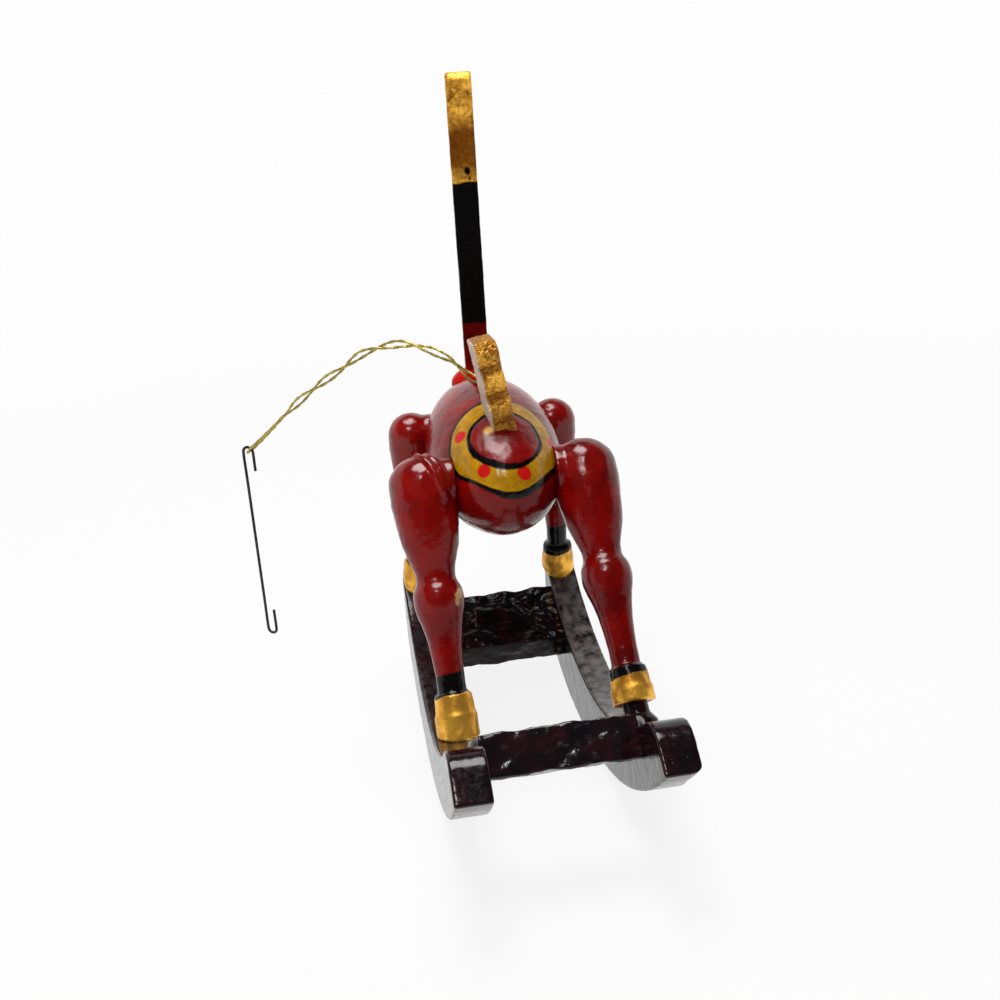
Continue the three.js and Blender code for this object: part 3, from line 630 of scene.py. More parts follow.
def speck_group():
    """Scattered specks: 1 on each speck."""
    group, given, made = new_group(
        "Specks",
        [("Vector", VECTOR, None), ("Scale", FLOAT, 900), ("Size", FLOAT, 0.2), ("Share", FLOAT, 0.3)],
        [("Specks", FLOAT)],
    )
    cells = node(group, "ShaderNodeTexVoronoi", {"Vector": given["Vector"], "Scale": given["Scale"]})
    inner = sums(group, "MULTIPLY", given["Size"], SPECK_CORE)
    near = ramp(group, cells.outputs["Distance"], inner, given["Size"], start=1, end=0)
    parts = node(group, "ShaderNodeSeparateColor", {0: cells.outputs["Color"]})
    chosen = sums(group, "LESS_THAN", parts.outputs[0], given["Share"])
    group.links.new(sums(group, "MULTIPLY", near, chosen), made["Specks"])
    return group


class Finish:
    """One material under construction, with its own coordinates and shader."""

    groups = {}

    def __init__(self, name):
        self.material = bpy.data.materials.new(name)
        self.material.use_nodes = True
        self.tree = self.material.node_tree
        self.shader = self.tree.nodes["Principled BSDF"]
        own = node(self.tree, "ShaderNodeTexCoord").outputs
        self.point = own["Object"]
        self.facing = own["Normal"]
        axes = node(self.tree, "ShaderNodeSeparateXYZ", {0: self.point})
        self.x, self.y, self.z = axes.outputs

    def group(self, kind, **inputs):
        if kind not in self.groups:
            self.groups[kind] = kind()
        sockets = {"Vector": self.point}
        for name, value in inputs.items():
            sockets[name.capitalize()] = value
        return node(self.tree, "ShaderNodeGroup", sockets, node_tree=self.groups[kind]).outputs

    def edge(self, level, edge, waver=0.6 * MM, blur=0.12 * MM):
        """1 where the level is under the edge."""
        return self.group(edge_group, level=level, edge=edge, waver=waver, blur=blur)["Inside"]

    def beyond(self, level, edge, **softness):
        """1 where the level is over the edge."""
        return self.sums("SUBTRACT", 1.0, self.edge(level, edge, **softness))

    def specks(self, scale, size, share):
        return self.group(speck_group, scale=scale, size=size, share=share)["Specks"]

    def over(self, mask, below, above):
        return paint_over(self.tree, mask, below, above)

    def between(self, mask, below, above):
        """One of two values, as the mask says."""
        return node(self.tree, "ShaderNodeMix", {0: mask, 2: below, 3: above}).outputs[0]

    def sums(self, operation, first, second=0.0):
        return sums(self.tree, operation, first, second)

    def times(self, first, second):
        return self.sums("MULTIPLY", first, second)

    def ramp(self, value, low, high, start=0.0, end=1.0):
        return ramp(self.tree, value, low, high, start, end)

    def grain(self, scale, detail):
        return grain(self.tree, self.point, scale, detail)

    def distance(self, centre, point=None):
        """Distance from a centre in millimetres."""
        inputs = {0: self.point if point is None else point, 1: tuple(value * MM for value in centre)}
        return node(self.tree, "ShaderNodeVectorMath", inputs, operation="DISTANCE").outputs["Value"]

    def set(self, **inputs):
        for name, value in inputs.items():
            socket = name.replace("_", " ").title().replace("Ior", "IOR")
            feed(self.tree, self.shader.inputs[socket], value)

    def bump(self, height, distance, strength):
        inputs = {"Height": height, "Distance": distance, "Strength": strength}
        self.set(normal=node(self.tree, "ShaderNodeBump", inputs).outputs[0])


# Gloss of each lacquer
LACQUER_GLOSS = 0.22
ROCKER_GLOSS = 0.3
PEG_GLOSS = 0.16
NECK_GLOSS = 0.03
BLACK_CRINKLE = 0.08
# The shiniest lacquer: on each dome, and over each knee within a reach in millimetres
DOME_SHINE = 0.3
SHINE_ROUGHNESS = 0.2
BROW_RISE = 2
BROW_REACH = 4
# How metallic the gold paint looks on each piece
HOOF_METAL = 0.8
ANTLER_METAL = 0.6
TAIL_METAL = 0.8


def red_base(finish, colours, thin=1.0):
    """Red lacquer, darker over the whole piece where thin is under 1: thick lacquer on the neck, painted
    shade on the rear right leg.
    """
    film = finish.group(film_group, scale=150)
    lit = part_way(colours.deep_red, colours.red, thin)
    colour = finish.over(film["Thin"], opaque(colours.deep_red, thin), opaque(lit))
    dark = finish.specks(scale=700, size=0.16, share=0.12)
    return finish.over(dark, colour, opaque(colours.band)), film


def gold_base(finish, colours, scale, even=0.0):
    """Gold paint of the given grain. An even coat shows less of the amber."""
    amber = part_way(colours.amber, colours.gold, even)
    return finish.group(gold_group, gold=opaque(colours.gold), amber=opaque(amber), scale=scale)


# Painted ring round the tail, in the body's own frame in millimetres: across, down, along
RING_CENTRE = (0.4, -10.2, -15.5)
RING_DOTS = [(-7.4, -8.9, -11.2), (-4.5, -5.9, -20.5), (2.6, -5.4, -22.2), (9.7, -6, -12.2)]
# Towards its lowest point the ring draws in by the square of the place across, and hangs down
RING_DRAW = 6500
RING_DROP = 0.06
RING_PULL = 0.01
# Width of the inner outline, in widths of the outer one
INNER_LINE = 1.3
# Gold smeared on the body beside the tail's foot
SMEAR_PLACE = (-2.1, -10.9, -13.4)
SMEAR_RADIUS = 1.1
DOME_CRINKLE = 0.7


def body_paint(sizes, colours):
    """Red lacquer with a mustard ring, dotted red and outlined black."""
    finish = Finish("body_red_lacquer")
    red, film = red_base(finish, colours)
    below = finish.ramp(finish.z, low=-17 * MM, high=-27 * MM, end=RING_PULL)
    draw_in = finish.times(finish.times(finish.x, finish.x), RING_DRAW)
    draw_in = finish.times(finish.sums("SUBTRACT", draw_in, RING_DROP), below)
    away = finish.sums("ADD", finish.distance(RING_CENTRE), draw_in)
    # The outer outline thickens towards its lower right and the inner one towards its lower left
    rightward = finish.sums("SUBTRACT", finish.z, finish.x)
    leftward = finish.sums("ADD", finish.z, finish.x)
    low_right = finish.ramp(rightward, low=-17 * MM, high=-28 * MM, end=0.6 * MM)
    low_left = finish.ramp(leftward, low=-19 * MM, high=-26 * MM, end=1 * MM)
    outline = finish.edge(finish.sums("SUBTRACT", away, low_right), sizes.ring_outer + sizes.ring_line)
    colour = finish.over(outline, red, opaque(colours.band))
    brush = finish.group(film_group, scale=420)
    yellow = finish.over(brush["Thin"], opaque(colours.mustard, share=0.62), opaque(colours.mustard))
    bits = finish.specks(scale=1500, size=0.3, share=0.16)
    yellow = finish.over(bits, yellow, opaque(colours.amber))
    colour = finish.over(finish.edge(away, sizes.ring_outer), colour, yellow)
    for dot in RING_DOTS:
        spot = finish.edge(finish.distance(dot), sizes.dot, waver=0.5 * MM)
        colour = finish.over(spot, colour, opaque(colours.dot))
    colour = finish.over(finish.edge(away, sizes.ring_inner), colour, opaque(colours.band))
    inner_edge = sizes.ring_inner - INNER_LINE * sizes.ring_line
    within = finish.edge(finish.sums("ADD", away, low_left), inner_edge, waver=1.2 * MM)
    colour = finish.over(within, colour, red)
    smear = finish.edge(finish.distance(SMEAR_PLACE), SMEAR_RADIUS * MM, waver=2.6 * MM, blur=0.4 * MM)
    colour = finish.over(smear, colour, opaque(colours.gold, share=0.6))
    crinkle = finish.times(finish.group(film_group, scale=900)["Height"], within)
    crinkle = finish.times(crinkle, DOME_CRINKLE)
    finish.set(
        base_color=colour,
        roughness=film["Roughness"],
        specular_ior_level=LACQUER_GLOSS,
        coat_weight=finish.times(within, DOME_SHINE),
        coat_roughness=SHINE_ROUGHNESS,
    )
    finish.bump(finish.sums("ADD", film["Height"], crinkle), distance=0.2 * MM, strength=0.6)
    return finish.material


CHIP_RADIUS = 0.8
SMUDGE_RADIUS = 2.2


def leg_paint(name, look, leg, length, colours):
    """Red lacquer over a black band and a gold hoof, by height on the leg, with chips, smudges and any
    painted shade.
    """
    finish = Finish(f"{name}_paint")
    red, film = red_base(finish, colours, look.get("thin", 1.0))
    for chip in look.get("chips", ()):
        bare = finish.edge(finish.distance(chip), CHIP_RADIUS * MM, waver=1.4 * MM)
        red = finish.over(bare, red, opaque(colours.wood))
    for across, ahead, under_hip in look.get("smudges", ()):
        away = finish.distance((across, ahead, length - under_hip))
        smudge = finish.edge(away, SMUDGE_RADIUS * MM, waver=1.8 * MM, blur=0.4 * MM)
        red = finish.over(smudge, red, opaque(colours.band))
    hoof = gold_base(finish, colours, 480, look["even_gold"])
    level = finish.sums("ADD", finish.z, finish.times(finish.x, look["slant"]))
    band = finish.edge(level, look["band_top"] * MM, waver=0.9 * MM)
    gold = finish.edge(level, look["gold_top"] * MM, waver=1.2 * MM)
    colour = finish.over(band, red, opaque(colours.band))
    colour = finish.over(gold, colour, hoof["Colour"])
    bits = finish.specks(scale=420, size=0.14, share=0.08)
    colour = finish.over(finish.times(bits, gold), colour, opaque(colours.band))
    dome = finish.ramp(finish.z, (length - leg["dome"]) * MM, length * MM, end=DOME_SHINE)
    off_brow = finish.sums("SUBTRACT", finish.z, (leg["knee_height"] + BROW_RISE) * MM)
    brow = finish.ramp(finish.sums("ABSOLUTE", off_brow), 0, BROW_REACH * MM, start=DOME_SHINE, end=0)
    finish.set(
        base_color=colour,
        roughness=finish.between(gold, film["Roughness"], hoof["Roughness"]),
        metallic=finish.times(gold, HOOF_METAL),
        specular_ior_level=LACQUER_GLOSS,
        coat_weight=finish.sums("MAXIMUM", dome, brow),
        coat_roughness=SHINE_ROUGHNESS,
    )
    finish.bump(finish.between(gold, film["Height"], hoof["Height"]), distance=0.2 * MM, strength=0.7)
    return finish.material


# Painted heights and places on the neck board, in its own frame in millimetres
MANE_BOTTOM = 13
MANE_TOP = 41
MANE_REACH = 2.8
MUZZLE_TIP = 2.4
POOL_TOP = 3.4
NECK_THIN = 0.6
# Painted shade: the antlers' gold is darker on their rear edge between these heights
SHADED_ANTLER_BOTTOM = 42.6
SHADED_ANTLER_TOP = 52
ANTLER_SHADE_BLUR = 1.6
ANTLER_SHADE_SHARE = 0.92
# A drop of black on the antlers' rear edge, and the end of its thinner tail
DRIP_PLACE = (-6.5, 42.9, 0.6)
DRIP_TAIL = (-6.5, 41.7, 1.1)
DRIP_RADIUS = 0.7
DRIP_THINNING = 0.3
# The painted eye is a share of the neck's width ahead of its middle
PAINTED_EYE_AHEAD = 0.62
PAINTED_EYE_RADIUS = 0.9
PAINTED_EYE_RIM = 1.3


def neck_paint(colours):
    """Red neck and head, black mane down the rear edge, gold antlers with painted shade on their rear edge,
    a dark eye and a dark muzzle.
    """
    finish = Finish("neck_paint")
    red, film = red_base(finish, colours, NECK_THIN)
    behind = finish.edge(finish.x, 0.0, waver=2 * MM, blur=1 * MM)
    pooled = finish.times(finish.edge(finish.y, POOL_TOP * MM), behind)
    red = finish.over(pooled, red, opaque(colours.dot))
    mane_back = finish.edge(finish.x, (MANE_REACH - NECK_WIDTH / 2) * MM)
    above_red = finish.beyond(finish.y, MANE_BOTTOM * MM, waver=0.8 * MM)
    colour = finish.over(finish.times(mane_back, above_red), red, opaque(colours.band))
    nose = NECK_WIDTH / 2 + MUZZLE_LENGTH
    muzzle = finish.beyond(finish.x, (nose - MUZZLE_TIP) * MM)
    colour = finish.over(muzzle, colour, opaque(colours.band))
    flat = node(finish.tree, "ShaderNodeCombineXYZ", {0: finish.x, 1: finish.y}).outputs[0]
    eye = (NECK_WIDTH * PAINTED_EYE_AHEAD, NECK_LENGTH + MUZZLE_DEPTH, 0)
    for radius, paint in ((PAINTED_EYE_RIM, colours.gold), (PAINTED_EYE_RADIUS, colours.band)):
        spot = finish.edge(finish.distance(eye, flat), radius * MM, waver=0.2 * MM)
        colour = finish.over(spot, colour, opaque(paint))
    gold = gold_base(finish, colours, 1300)
    # Painted shade: the gold turns dark in the middle of the antlers' rear edge
    under_tip = finish.edge(finish.y, SHADED_ANTLER_TOP * MM, waver=3 * MM, blur=ANTLER_SHADE_BLUR * MM)
    over_root = finish.beyond(finish.y, SHADED_ANTLER_BOTTOM * MM, waver=3 * MM, blur=ANTLER_SHADE_BLUR * MM)
    thin = finish.times(finish.times(under_tip, over_root), mane_back)
    antler_gold_and_shade = finish.over(finish.times(thin, ANTLER_SHADE_SHARE), gold["Colour"], opaque(colours.antler_shade))
    antler = finish.beyond(finish.y, MANE_TOP * MM, waver=1.4 * MM)
    colour = finish.over(antler, colour, antler_gold_and_shade)
    tail = finish.sums("ADD", finish.distance(DRIP_TAIL), DRIP_THINNING * MM)
    drip = finish.sums("MINIMUM", finish.distance(DRIP_PLACE), tail)
    drop = finish.edge(drip, DRIP_RADIUS * MM, waver=2 * MM)
    colour = finish.over(drop, colour, opaque(colours.band))
    finish.set(
        base_color=colour,
        roughness=finish.between(antler, film["Roughness"], gold["Roughness"]),
        metallic=finish.times(antler, ANTLER_METAL),
        specular_ior_level=NECK_GLOSS,
    )
    finish.bump(finish.between(antler, film["Height"], gold["Height"]), distance=0.3 * MM, strength=0.8)
    return finish.material


# The tail's gold darkens towards its foot and, as painted shade, in its creases; a painted pale reflection
# covers its left face and just round the edge
TAIL_DARK_TOP = 3.8
TAIL_DARKNESS = 0.6
CREASE_DARKNESS = 0.75
REFLECTION_WRAP = 0.3
REFLECTION_SHARE = 0.75


def tail_paint(colours):
    """Crinkled gold, darker towards the foot, with painted shade in its creases and a painted pale
    reflection on the left face.
    """
    finish = Finish("tail_gold_paint")
    gold = gold_base(finish, colours, 1500)
    dark = finish.edge(finish.y, TAIL_DARK_TOP * MM, waver=2 * MM, blur=1.5 * MM)
    dark = finish.times(dark, TAIL_DARKNESS)
    # Painted shade in the creases between the scallops, leaving the middle of each scallop bright
    turn = finish.times(finish.y, 2 * math.pi * TAIL_SCALLOPS / (TAIL_HEIGHT * MM))
    crease_shade = finish.ramp(finish.sums("COSINE", turn), low=0.2, high=1, end=CREASE_DARKNESS)
    colour = finish.over(finish.sums("MAXIMUM", dark, crease_shade), gold["Colour"], opaque(colours.amber))
    # Painted reflection: the left face is pale and not metallic
    left = finish.edge(finish.z, (REFLECTION_WRAP - TAIL_THICKNESS / 2) * MM, waver=0.3 * MM)
    colour = finish.over(finish.times(left, REFLECTION_SHARE), colour, opaque(colours.left_face_reflection))
    metallic = finish.times(finish.sums("SUBTRACT", 1.0, left), TAIL_METAL)
    finish.set(base_color=colour, roughness=gold["Roughness"], metallic=metallic)
    finish.bump(gold["Height"], distance=0.6 * MM, strength=1)
    return finish.material


# Dust on a rocker's upper edge begins and is full at these places along it, in millimetres
DUST_START = -50
DUST_FULL = -44
# Patches of bare wood at a worn end: how sharply they end and how much of the wood shows
PATCH_SHARPNESS = 8
PATCH_SHARE = 0.45


def black_lacquer(name, colours, lumps, gloss, roll, worn_end=None, dusty=0.0):
    """Plum-black lacquer with dust on its upper faces. Bare wood and glue show at a worn end."""
    finish = Finish(name)
    film = finish.group(film_group, scale=lumps, crinkle=BLACK_CRINKLE)
    thin = finish.times(film["Thin"], film["Thin"])
    colour = finish.over(thin, opaque(colours.black), opaque(colours.plum))
    facing = node(finish.tree, "ShaderNodeSeparateXYZ", {0: finish.facing}).outputs["Y"]
    ahead = finish.ramp(finish.x, DUST_START * MM, DUST_FULL * MM, end=dusty)
    level = finish.times(finish.ramp(facing, low=0.8, high=0.95), ahead)
    grey = finish.times(finish.group(film_group, scale=500)["Thin"], level)
    colour = finish.over(grey, colour, opaque(colours.dust))
    upper = finish.ramp(facing, low=0.3, high=0.9, start=0.15, end=0.75)
    dust = finish.specks(scale=2200, size=0.22, share=0.1)
    colour = finish.over(finish.times(dust, upper), colour, opaque(colours.dust))
    if worn_end:
        beyond = finish.beyond(finish.z, worn_end * MM, waver=2 * MM)
        patches = finish.sums("POWER", finish.group(film_group, scale=800)["Thin"], PATCH_SHARPNESS)
        bare = finish.times(finish.times(beyond, patches), PATCH_SHARE)
        colour = finish.over(bare, colour, opaque(colours.wood))
    finish.set(base_color=colour, roughness=film["Roughness"], specular_ior_level=gloss)
    finish.bump(film["Height"], distance=0.3 * MM, strength=roll)
    return finish.material


def thread_gold(colours):
    finish = Finish("thread_gold")
    glint = finish.grain(scale=2600, detail=2)
    shade = finish.ramp(glint, **MIDDLE)
    finish.set(
        base_color=finish.over(shade, opaque(colours.thread, share=0.45), opaque(colours.thread)),
        metallic=0.85,
        roughness=finish.ramp(glint, **WIDE_MIDDLE, start=0.45, end=0.25),
    )
    finish.bump(glint, distance=0.08 * MM, strength=0.5)
    return finish.material


WIRE_WEAR = 0.15


def wire_metal(name, colour, rough):
    finish = Finish(name)
    drawn = finish.grain(scale=900, detail=4)
    worn = finish.ramp(drawn, low=0.4, high=0.7)
    finish.set(
        base_color=finish.over(worn, opaque(colour), opaque(colour, share=2.2)),
        metallic=1.0,
        roughness=finish.ramp(drawn, **WIDE_MIDDLE, start=rough, end=rough + WIRE_WEAR),
    )
    finish.bump(drawn, distance=0.03 * MM, strength=0.4)
    return finish.material


def bare_wood(colours):
    finish = Finish("bare_wood")
    wave = {"Vector": finish.point, "Scale": 320, "Distortion": 5, "Detail": 3}
    rings = node(finish.tree, "ShaderNodeTexWave", wave, wave_type="RINGS").outputs["Fac"]
    finish.set(
        base_color=finish.over(rings, opaque(colours.wood, share=0.55), opaque(colours.wood)),
        roughness=finish.ramp(rings, low=0, high=1, start=0.55, end=0.75),
    )
    finish.bump(rings, distance=0.1 * MM, strength=0.3)
    return finish.material


# Pieces


class ORNAMENT_OT_body(bpy.types.Operator):
    """Turn the egg-shaped body and paint the ring round the tail"""

    bl_idname = "ornament.body"
    bl_label = "Body"

    rings = 160
    sides = 224

    def execute(self, context):
        sizes, colours = context.scene.ornament_sizes, context.scene.ornament_colours
        profile = []
        for ring in range(self.rings + 1):
            angle = math.pi * ring / self.rings
            radius = 0 if ring in (0, self.rings) else BODY_RADIUS * math.sin(angle)
            profile.append((radius, -BODY_HALF_LENGTH * math.cos(angle)))
        work = bmesh.new()
        add_turned(work, profile, self.sides)
        mesh = lumpy(mesh_of("body_turning", work), sizes.lump)
        place = placed(BODY_CENTRE, (X_AXIS, -BODY_UP, BODY_AXIS))
        show("body_turning", mesh, place, body_paint(sizes, colours), ["body"])
        return {"FINISHED"}


def leg_line(entry):
    """The leg's hip, where it stands, the foot of its axis, its direction and its length."""
    leg, side = entry["leg"], entry["side"]
    across = body_radius_at(leg["hip_along"]) + leg["thigh"] - leg["seat"]
    hip = body_point(leg["hip_along"], leg["hip_rise"], side * across)
    stands = []
    for back in (0, entry["back"]):
        forward = leg["hoof_at"] - back
        stands.append(Vector((side * (HOOF_SPACING / 2 + entry["aside"]), forward, rocker_top(forward))))
    length = (hip - stands[0]).length
    direction = (hip - stands[1]).normalized()
    return hip, stands[1], hip - direction * length, direction, length


def leg_frame(foot, direction):
    """World matrix of a leg's own frame: across, ahead and up its axis."""
    ahead = direction.cross(X_AXIS).normalized()
    return placed(foot, (ahead.cross(direction), ahead, direction))


# Painted heights and slants on each leg, with its chips, smudges, ridges of lacquer and painted shade
LEG_LOOKS = {
    "rear_left": {
        "gold_top": 7.5, "band_top": 11.3, "slant": -0.12, "even_gold": 0.35,
        "chips": [(3.4, -3.1, 24.8), (3.1, -3.5, 23.6), (3.7, -2.7, 25.6)],
        "ridges": [
            [(-0.6, -2.3, 5.4), (0.7, -4.5, 4.1), (2, -5.8, 1.6), (3, -5.6, -1.6), (3.6, -5, -4)],
            [(0.9, -2.4, 5.2), (2.3, -4.2, 3.9), (3.6, -5, 1.2), (4.3, -4.6, -2)],
        ],
    },
    "rear_right": {
        "gold_top": 5.9, "band_top": 7.8, "slant": -0.1, "even_gold": 0,
        # Painted shade: the red of the whole rear right leg is darkened
        "thin": 0.62,
        "smudges": [(5.4, -2, -1.5)],
    },
    "front_left": {"gold_top": 5.8, "band_top": 9.6, "slant": 0.1, "even_gold": 0.2},
    "front_right": {"gold_top": 4.8, "band_top": 11.5, "slant": -0.1, "even_gold": 0.2},
}
RIDGE_RADIUS = 0.7
RIDGE_SIDES = 10
HOOF_BEVEL = 0.5

# Bends of a leg's profile, as shares of the widths and heights between its sizes
CALF_TAPER = 0.35
CALF_RISE = 0.56
KNEE_BROW = 0.08
KNEE_BROW_RISE = 0.38
WAIST_RISE = 0.83
THIGH_TAPER = 0.61
THIGH_RISE = 0.42
PROFILE_STEPS = 8
DOME_STEPS = 16


def leg_profile(leg, length, sunk):
    """Radius and height up the leg, from its foot to the top of its dome."""
    band_top = leg["hoof_height"] + BAND_HEIGHT
    thigh_height = length - leg["thigh"] / 2
    calf = leg["shin"] + (leg["knee"] - leg["shin"]) * CALF_TAPER
    calf_height = band_top + (leg["knee_height"] - band_top) * CALF_RISE
    brow = leg["knee"] - (leg["knee"] - leg["waist"]) * KNEE_BROW
    above_knee = leg["waist_height"] - leg["knee_height"]
    upper = leg["waist"] + (leg["thigh"] - leg["waist"]) * THIGH_TAPER
    upper_height = leg["waist_height"] + (thigh_height - leg["waist_height"]) * THIGH_RISE
    swell = [
        Vector((leg["shin"], band_top)),
        Vector((calf, calf_height)),
        Vector((leg["knee"], leg["knee_height"])),
        Vector((brow, leg["knee_height"] + above_knee * KNEE_BROW_RISE)),
        Vector((leg["waist"], leg["knee_height"] + above_knee * WAIST_RISE)),
        Vector((upper, upper_height)),
        Vector((leg["thigh"], thigh_height)),
    ]
    profile = [
        (0, -sunk),
        (leg["hoof"], -sunk),
        (leg["hoof"], leg["hoof_step"]),
        (leg["hoof_top"] + HOOF_BEVEL / 2, leg["hoof_step"] + HOOF_BEVEL),
        (leg["hoof_top"], leg["hoof_height"]),
        (leg["shin"], leg["hoof_height"] + HOOF_BEVEL),
    ]
    profile += [(point.x, point.y) for point in smooth_path(swell, PROFILE_STEPS)]
    for step in range(1, DOME_STEPS):
        angle = math.pi / 2 * step / DOME_STEPS
        profile.append((leg["thigh"] * math.cos(angle), length + leg["dome"] * math.sin(angle)))
    profile.append((0, length + leg["dome"]))
    return profile


class ORNAMENT_OT_legs(bpy.types.Operator):
    """Turn the four legs with their hoof pegs and paint their bands and hooves"""

    bl_idname = "ornament.legs"
    bl_label = "Legs"

    sides = 64
    # Passes that round the edges over
    leg_rounding = 6
    peg_rounding = 3
    peg_sunk = 2
    cheek_sunk = 1.5
    # A lifted hoof is sawn off short, and lacquer pools round its thick peg up to a share of the gap
    sawn_off = 1.2
    thick_peg = 2.3
    pool_radius = 3.4
    pool_rise = 2 / 3

    def execute(self, context):
        sizes, colours = context.scene.ornament_sizes, context.scene.ornament_colours
        peg_finish = black_lacquer("peg_black_lacquer", colours, lumps=300, gloss=PEG_GLOSS, roll=0.4)
        for name, entry in LEGS.items():
            self.turn_leg(name, entry, sizes, colours)
            self.turn_peg(name, entry, sizes, peg_finish)
        return {"FINISHED"}

    def turn_leg(self, name, entry, sizes, colours):
        leg, look = entry["leg"], LEG_LOOKS[name]
        hip, stand, foot, direction, length = leg_line(entry)
        place = leg_frame(foot, direction)
        lifted = entry["back"] > 0
        work = bmesh.new()
        add_turned(work, leg_profile(leg, length, -self.sawn_off if lifted else leg["hoof"]), self.sides)
        if not lifted:
            self.stand_on_rocker(work, place, stand)
        for ridge in look.get("ridges", ()):
            bend = [Vector((across, ahead, length + rise)) for across, ahead, rise in ridge]
            add_swept(work, smooth_path(bend, PROFILE_STEPS), round_section(RIDGE_RADIUS), RIDGE_SIDES)
        self.add_cheek(work, place, hip, entry)
        mesh = lacquered(mesh_of(f"leg_{name}_turning", work), sizes.voxel, self.leg_rounding, sizes.lump)
        paint = leg_paint(f"leg_{name}", look, leg, length, colours)
        show(f"leg_{name}_turning", mesh, place, paint, [f"leg_{name}"])

    def turn_peg(self, name, entry, sizes, finish):
        """Turns the peg that joins the hoof to the rocker."""
        stand, foot, direction = leg_line(entry)[1:4]
        gap = (foot - stand).length
        low, high = -gap - self.peg_sunk, self.peg_sunk
        profile = [(0, low), (PEG_RADIUS, low), (PEG_RADIUS, high), (0, high)]
        if entry["back"] > 0:
            pooled = [(self.pool_radius, low), (self.pool_radius, -gap)]
            thick = [(self.thick_peg, gap * (self.pool_rise - 1)), (self.thick_peg, high)]
            profile = [(0, low), *pooled, *thick, (0, high)]
        work = bmesh.new()
        add_turned(work, profile, self.sides)
        mesh = lacquered(mesh_of(f"peg_{name}", work), sizes.voxel, self.peg_rounding, sizes.lump)
        place = leg_frame(foot, direction)
        show(f"peg_{name}", mesh, place, finish, [f"hoof_peg_{name}"])

    def stand_on_rocker(self, work, place, stand):
        """Saws the hoof off along the rocker's upper edge."""
        up = place.to_3x3().inverted() @ rocker_up(stand.y)
        whole = [*work.verts, *work.edges, *work.faces]
        cut = bmesh.ops.bisect_plane(work, geom=whole, plane_co=Vector(), plane_no=up, clear_inner=True)
        rim = [item for item in cut["geom_cut"] if isinstance(item, bmesh.types.BMEdge)]
        bmesh.ops.holes_fill(work, edges=rim, sides=0)

    def add_cheek(self, work, place, hip, entry):
        """Adds the short boss that joins the thigh to the body."""
        leg, side = entry["leg"], entry["side"]
        reach = abs(hip.x) - body_radius_at(leg["hip_along"]) + self.cheek_sunk
        boss = place.inverted() @ placed(hip, (Y_AXIS, Z_AXIS * side, X_AXIS * side))
        add_turned(work, [(0, -reach), (leg["cheek"], -reach), (leg["cheek"], 0), (0, 0)], self.sides, boss)


# The right rocker's rear end is worn round on its outer side, fully after a share of the worn length
KNOB_ROUND = 2
KNOB_LENGTH = 12
KNOB_GROWTH = 1 / 2


def round_knob(mesh):
    """Rounds the outer edges over towards the rear end."""
    half = ROCKER_THICKNESS / 2
    for vertex in mesh.vertices:
        along, up, across = vertex.co / MM
        share = (KNOB_LENGTH - ROCKER_REAR_REACH - along) / KNOB_LENGTH
        if across < 0 or share < 0:
            continue
        radius = KNOB_ROUND * min(share / KNOB_GROWTH, 1)
        depth = min(rocker_top(along) - up, up - rocker_under(along))
        short = radius - min(max(depth, 0), radius)
        vertex.co.z *= 1 - (radius - math.sqrt(radius**2 - short**2)) / half
    mesh.update()


def rocker_outline():
    """Side view of a rocker, forward and up."""
    rear, front = -ROCKER_REAR_REACH, ROCKER_FRONT_REACH
    toe = front - ROCKER_TOE_ROUND
    top_front = front - ROCKER_FRONT_ROUND
    rear_top = rear + ROCKER_REAR_CUT
    corner = Vector((rear_top, rocker_top(rear_top)))
    heel = Vector((rear, rocker_under(rear)))
    bend = corner + (heel - corner).normalized() * ROCKER_REAR_ROUND
    outline = Outline(*heel)
    outline.arc(UNDER_CENTRE, ROCKER_UNDER_RADIUS, rear, -ROCKER_FLAT / 2)
    outline.arc(UNDER_CENTRE, ROCKER_UNDER_RADIUS, ROCKER_FLAT / 2, toe)
    outline.curve(front, rocker_under(front), front, rocker_under(front) + ROCKER_TOE_ROUND)
    outline.line(front, rocker_top(front) - ROCKER_FRONT_ROUND)
    outline.curve(front, rocker_top(front), top_front, rocker_top(top_front))
    outline.arc(TOP_CENTRE, ROCKER_TOP_RADIUS, top_front, rear_top + ROCKER_REAR_ROUND)
    outline.curve(*corner, *bend)
    return outline.points[1:]


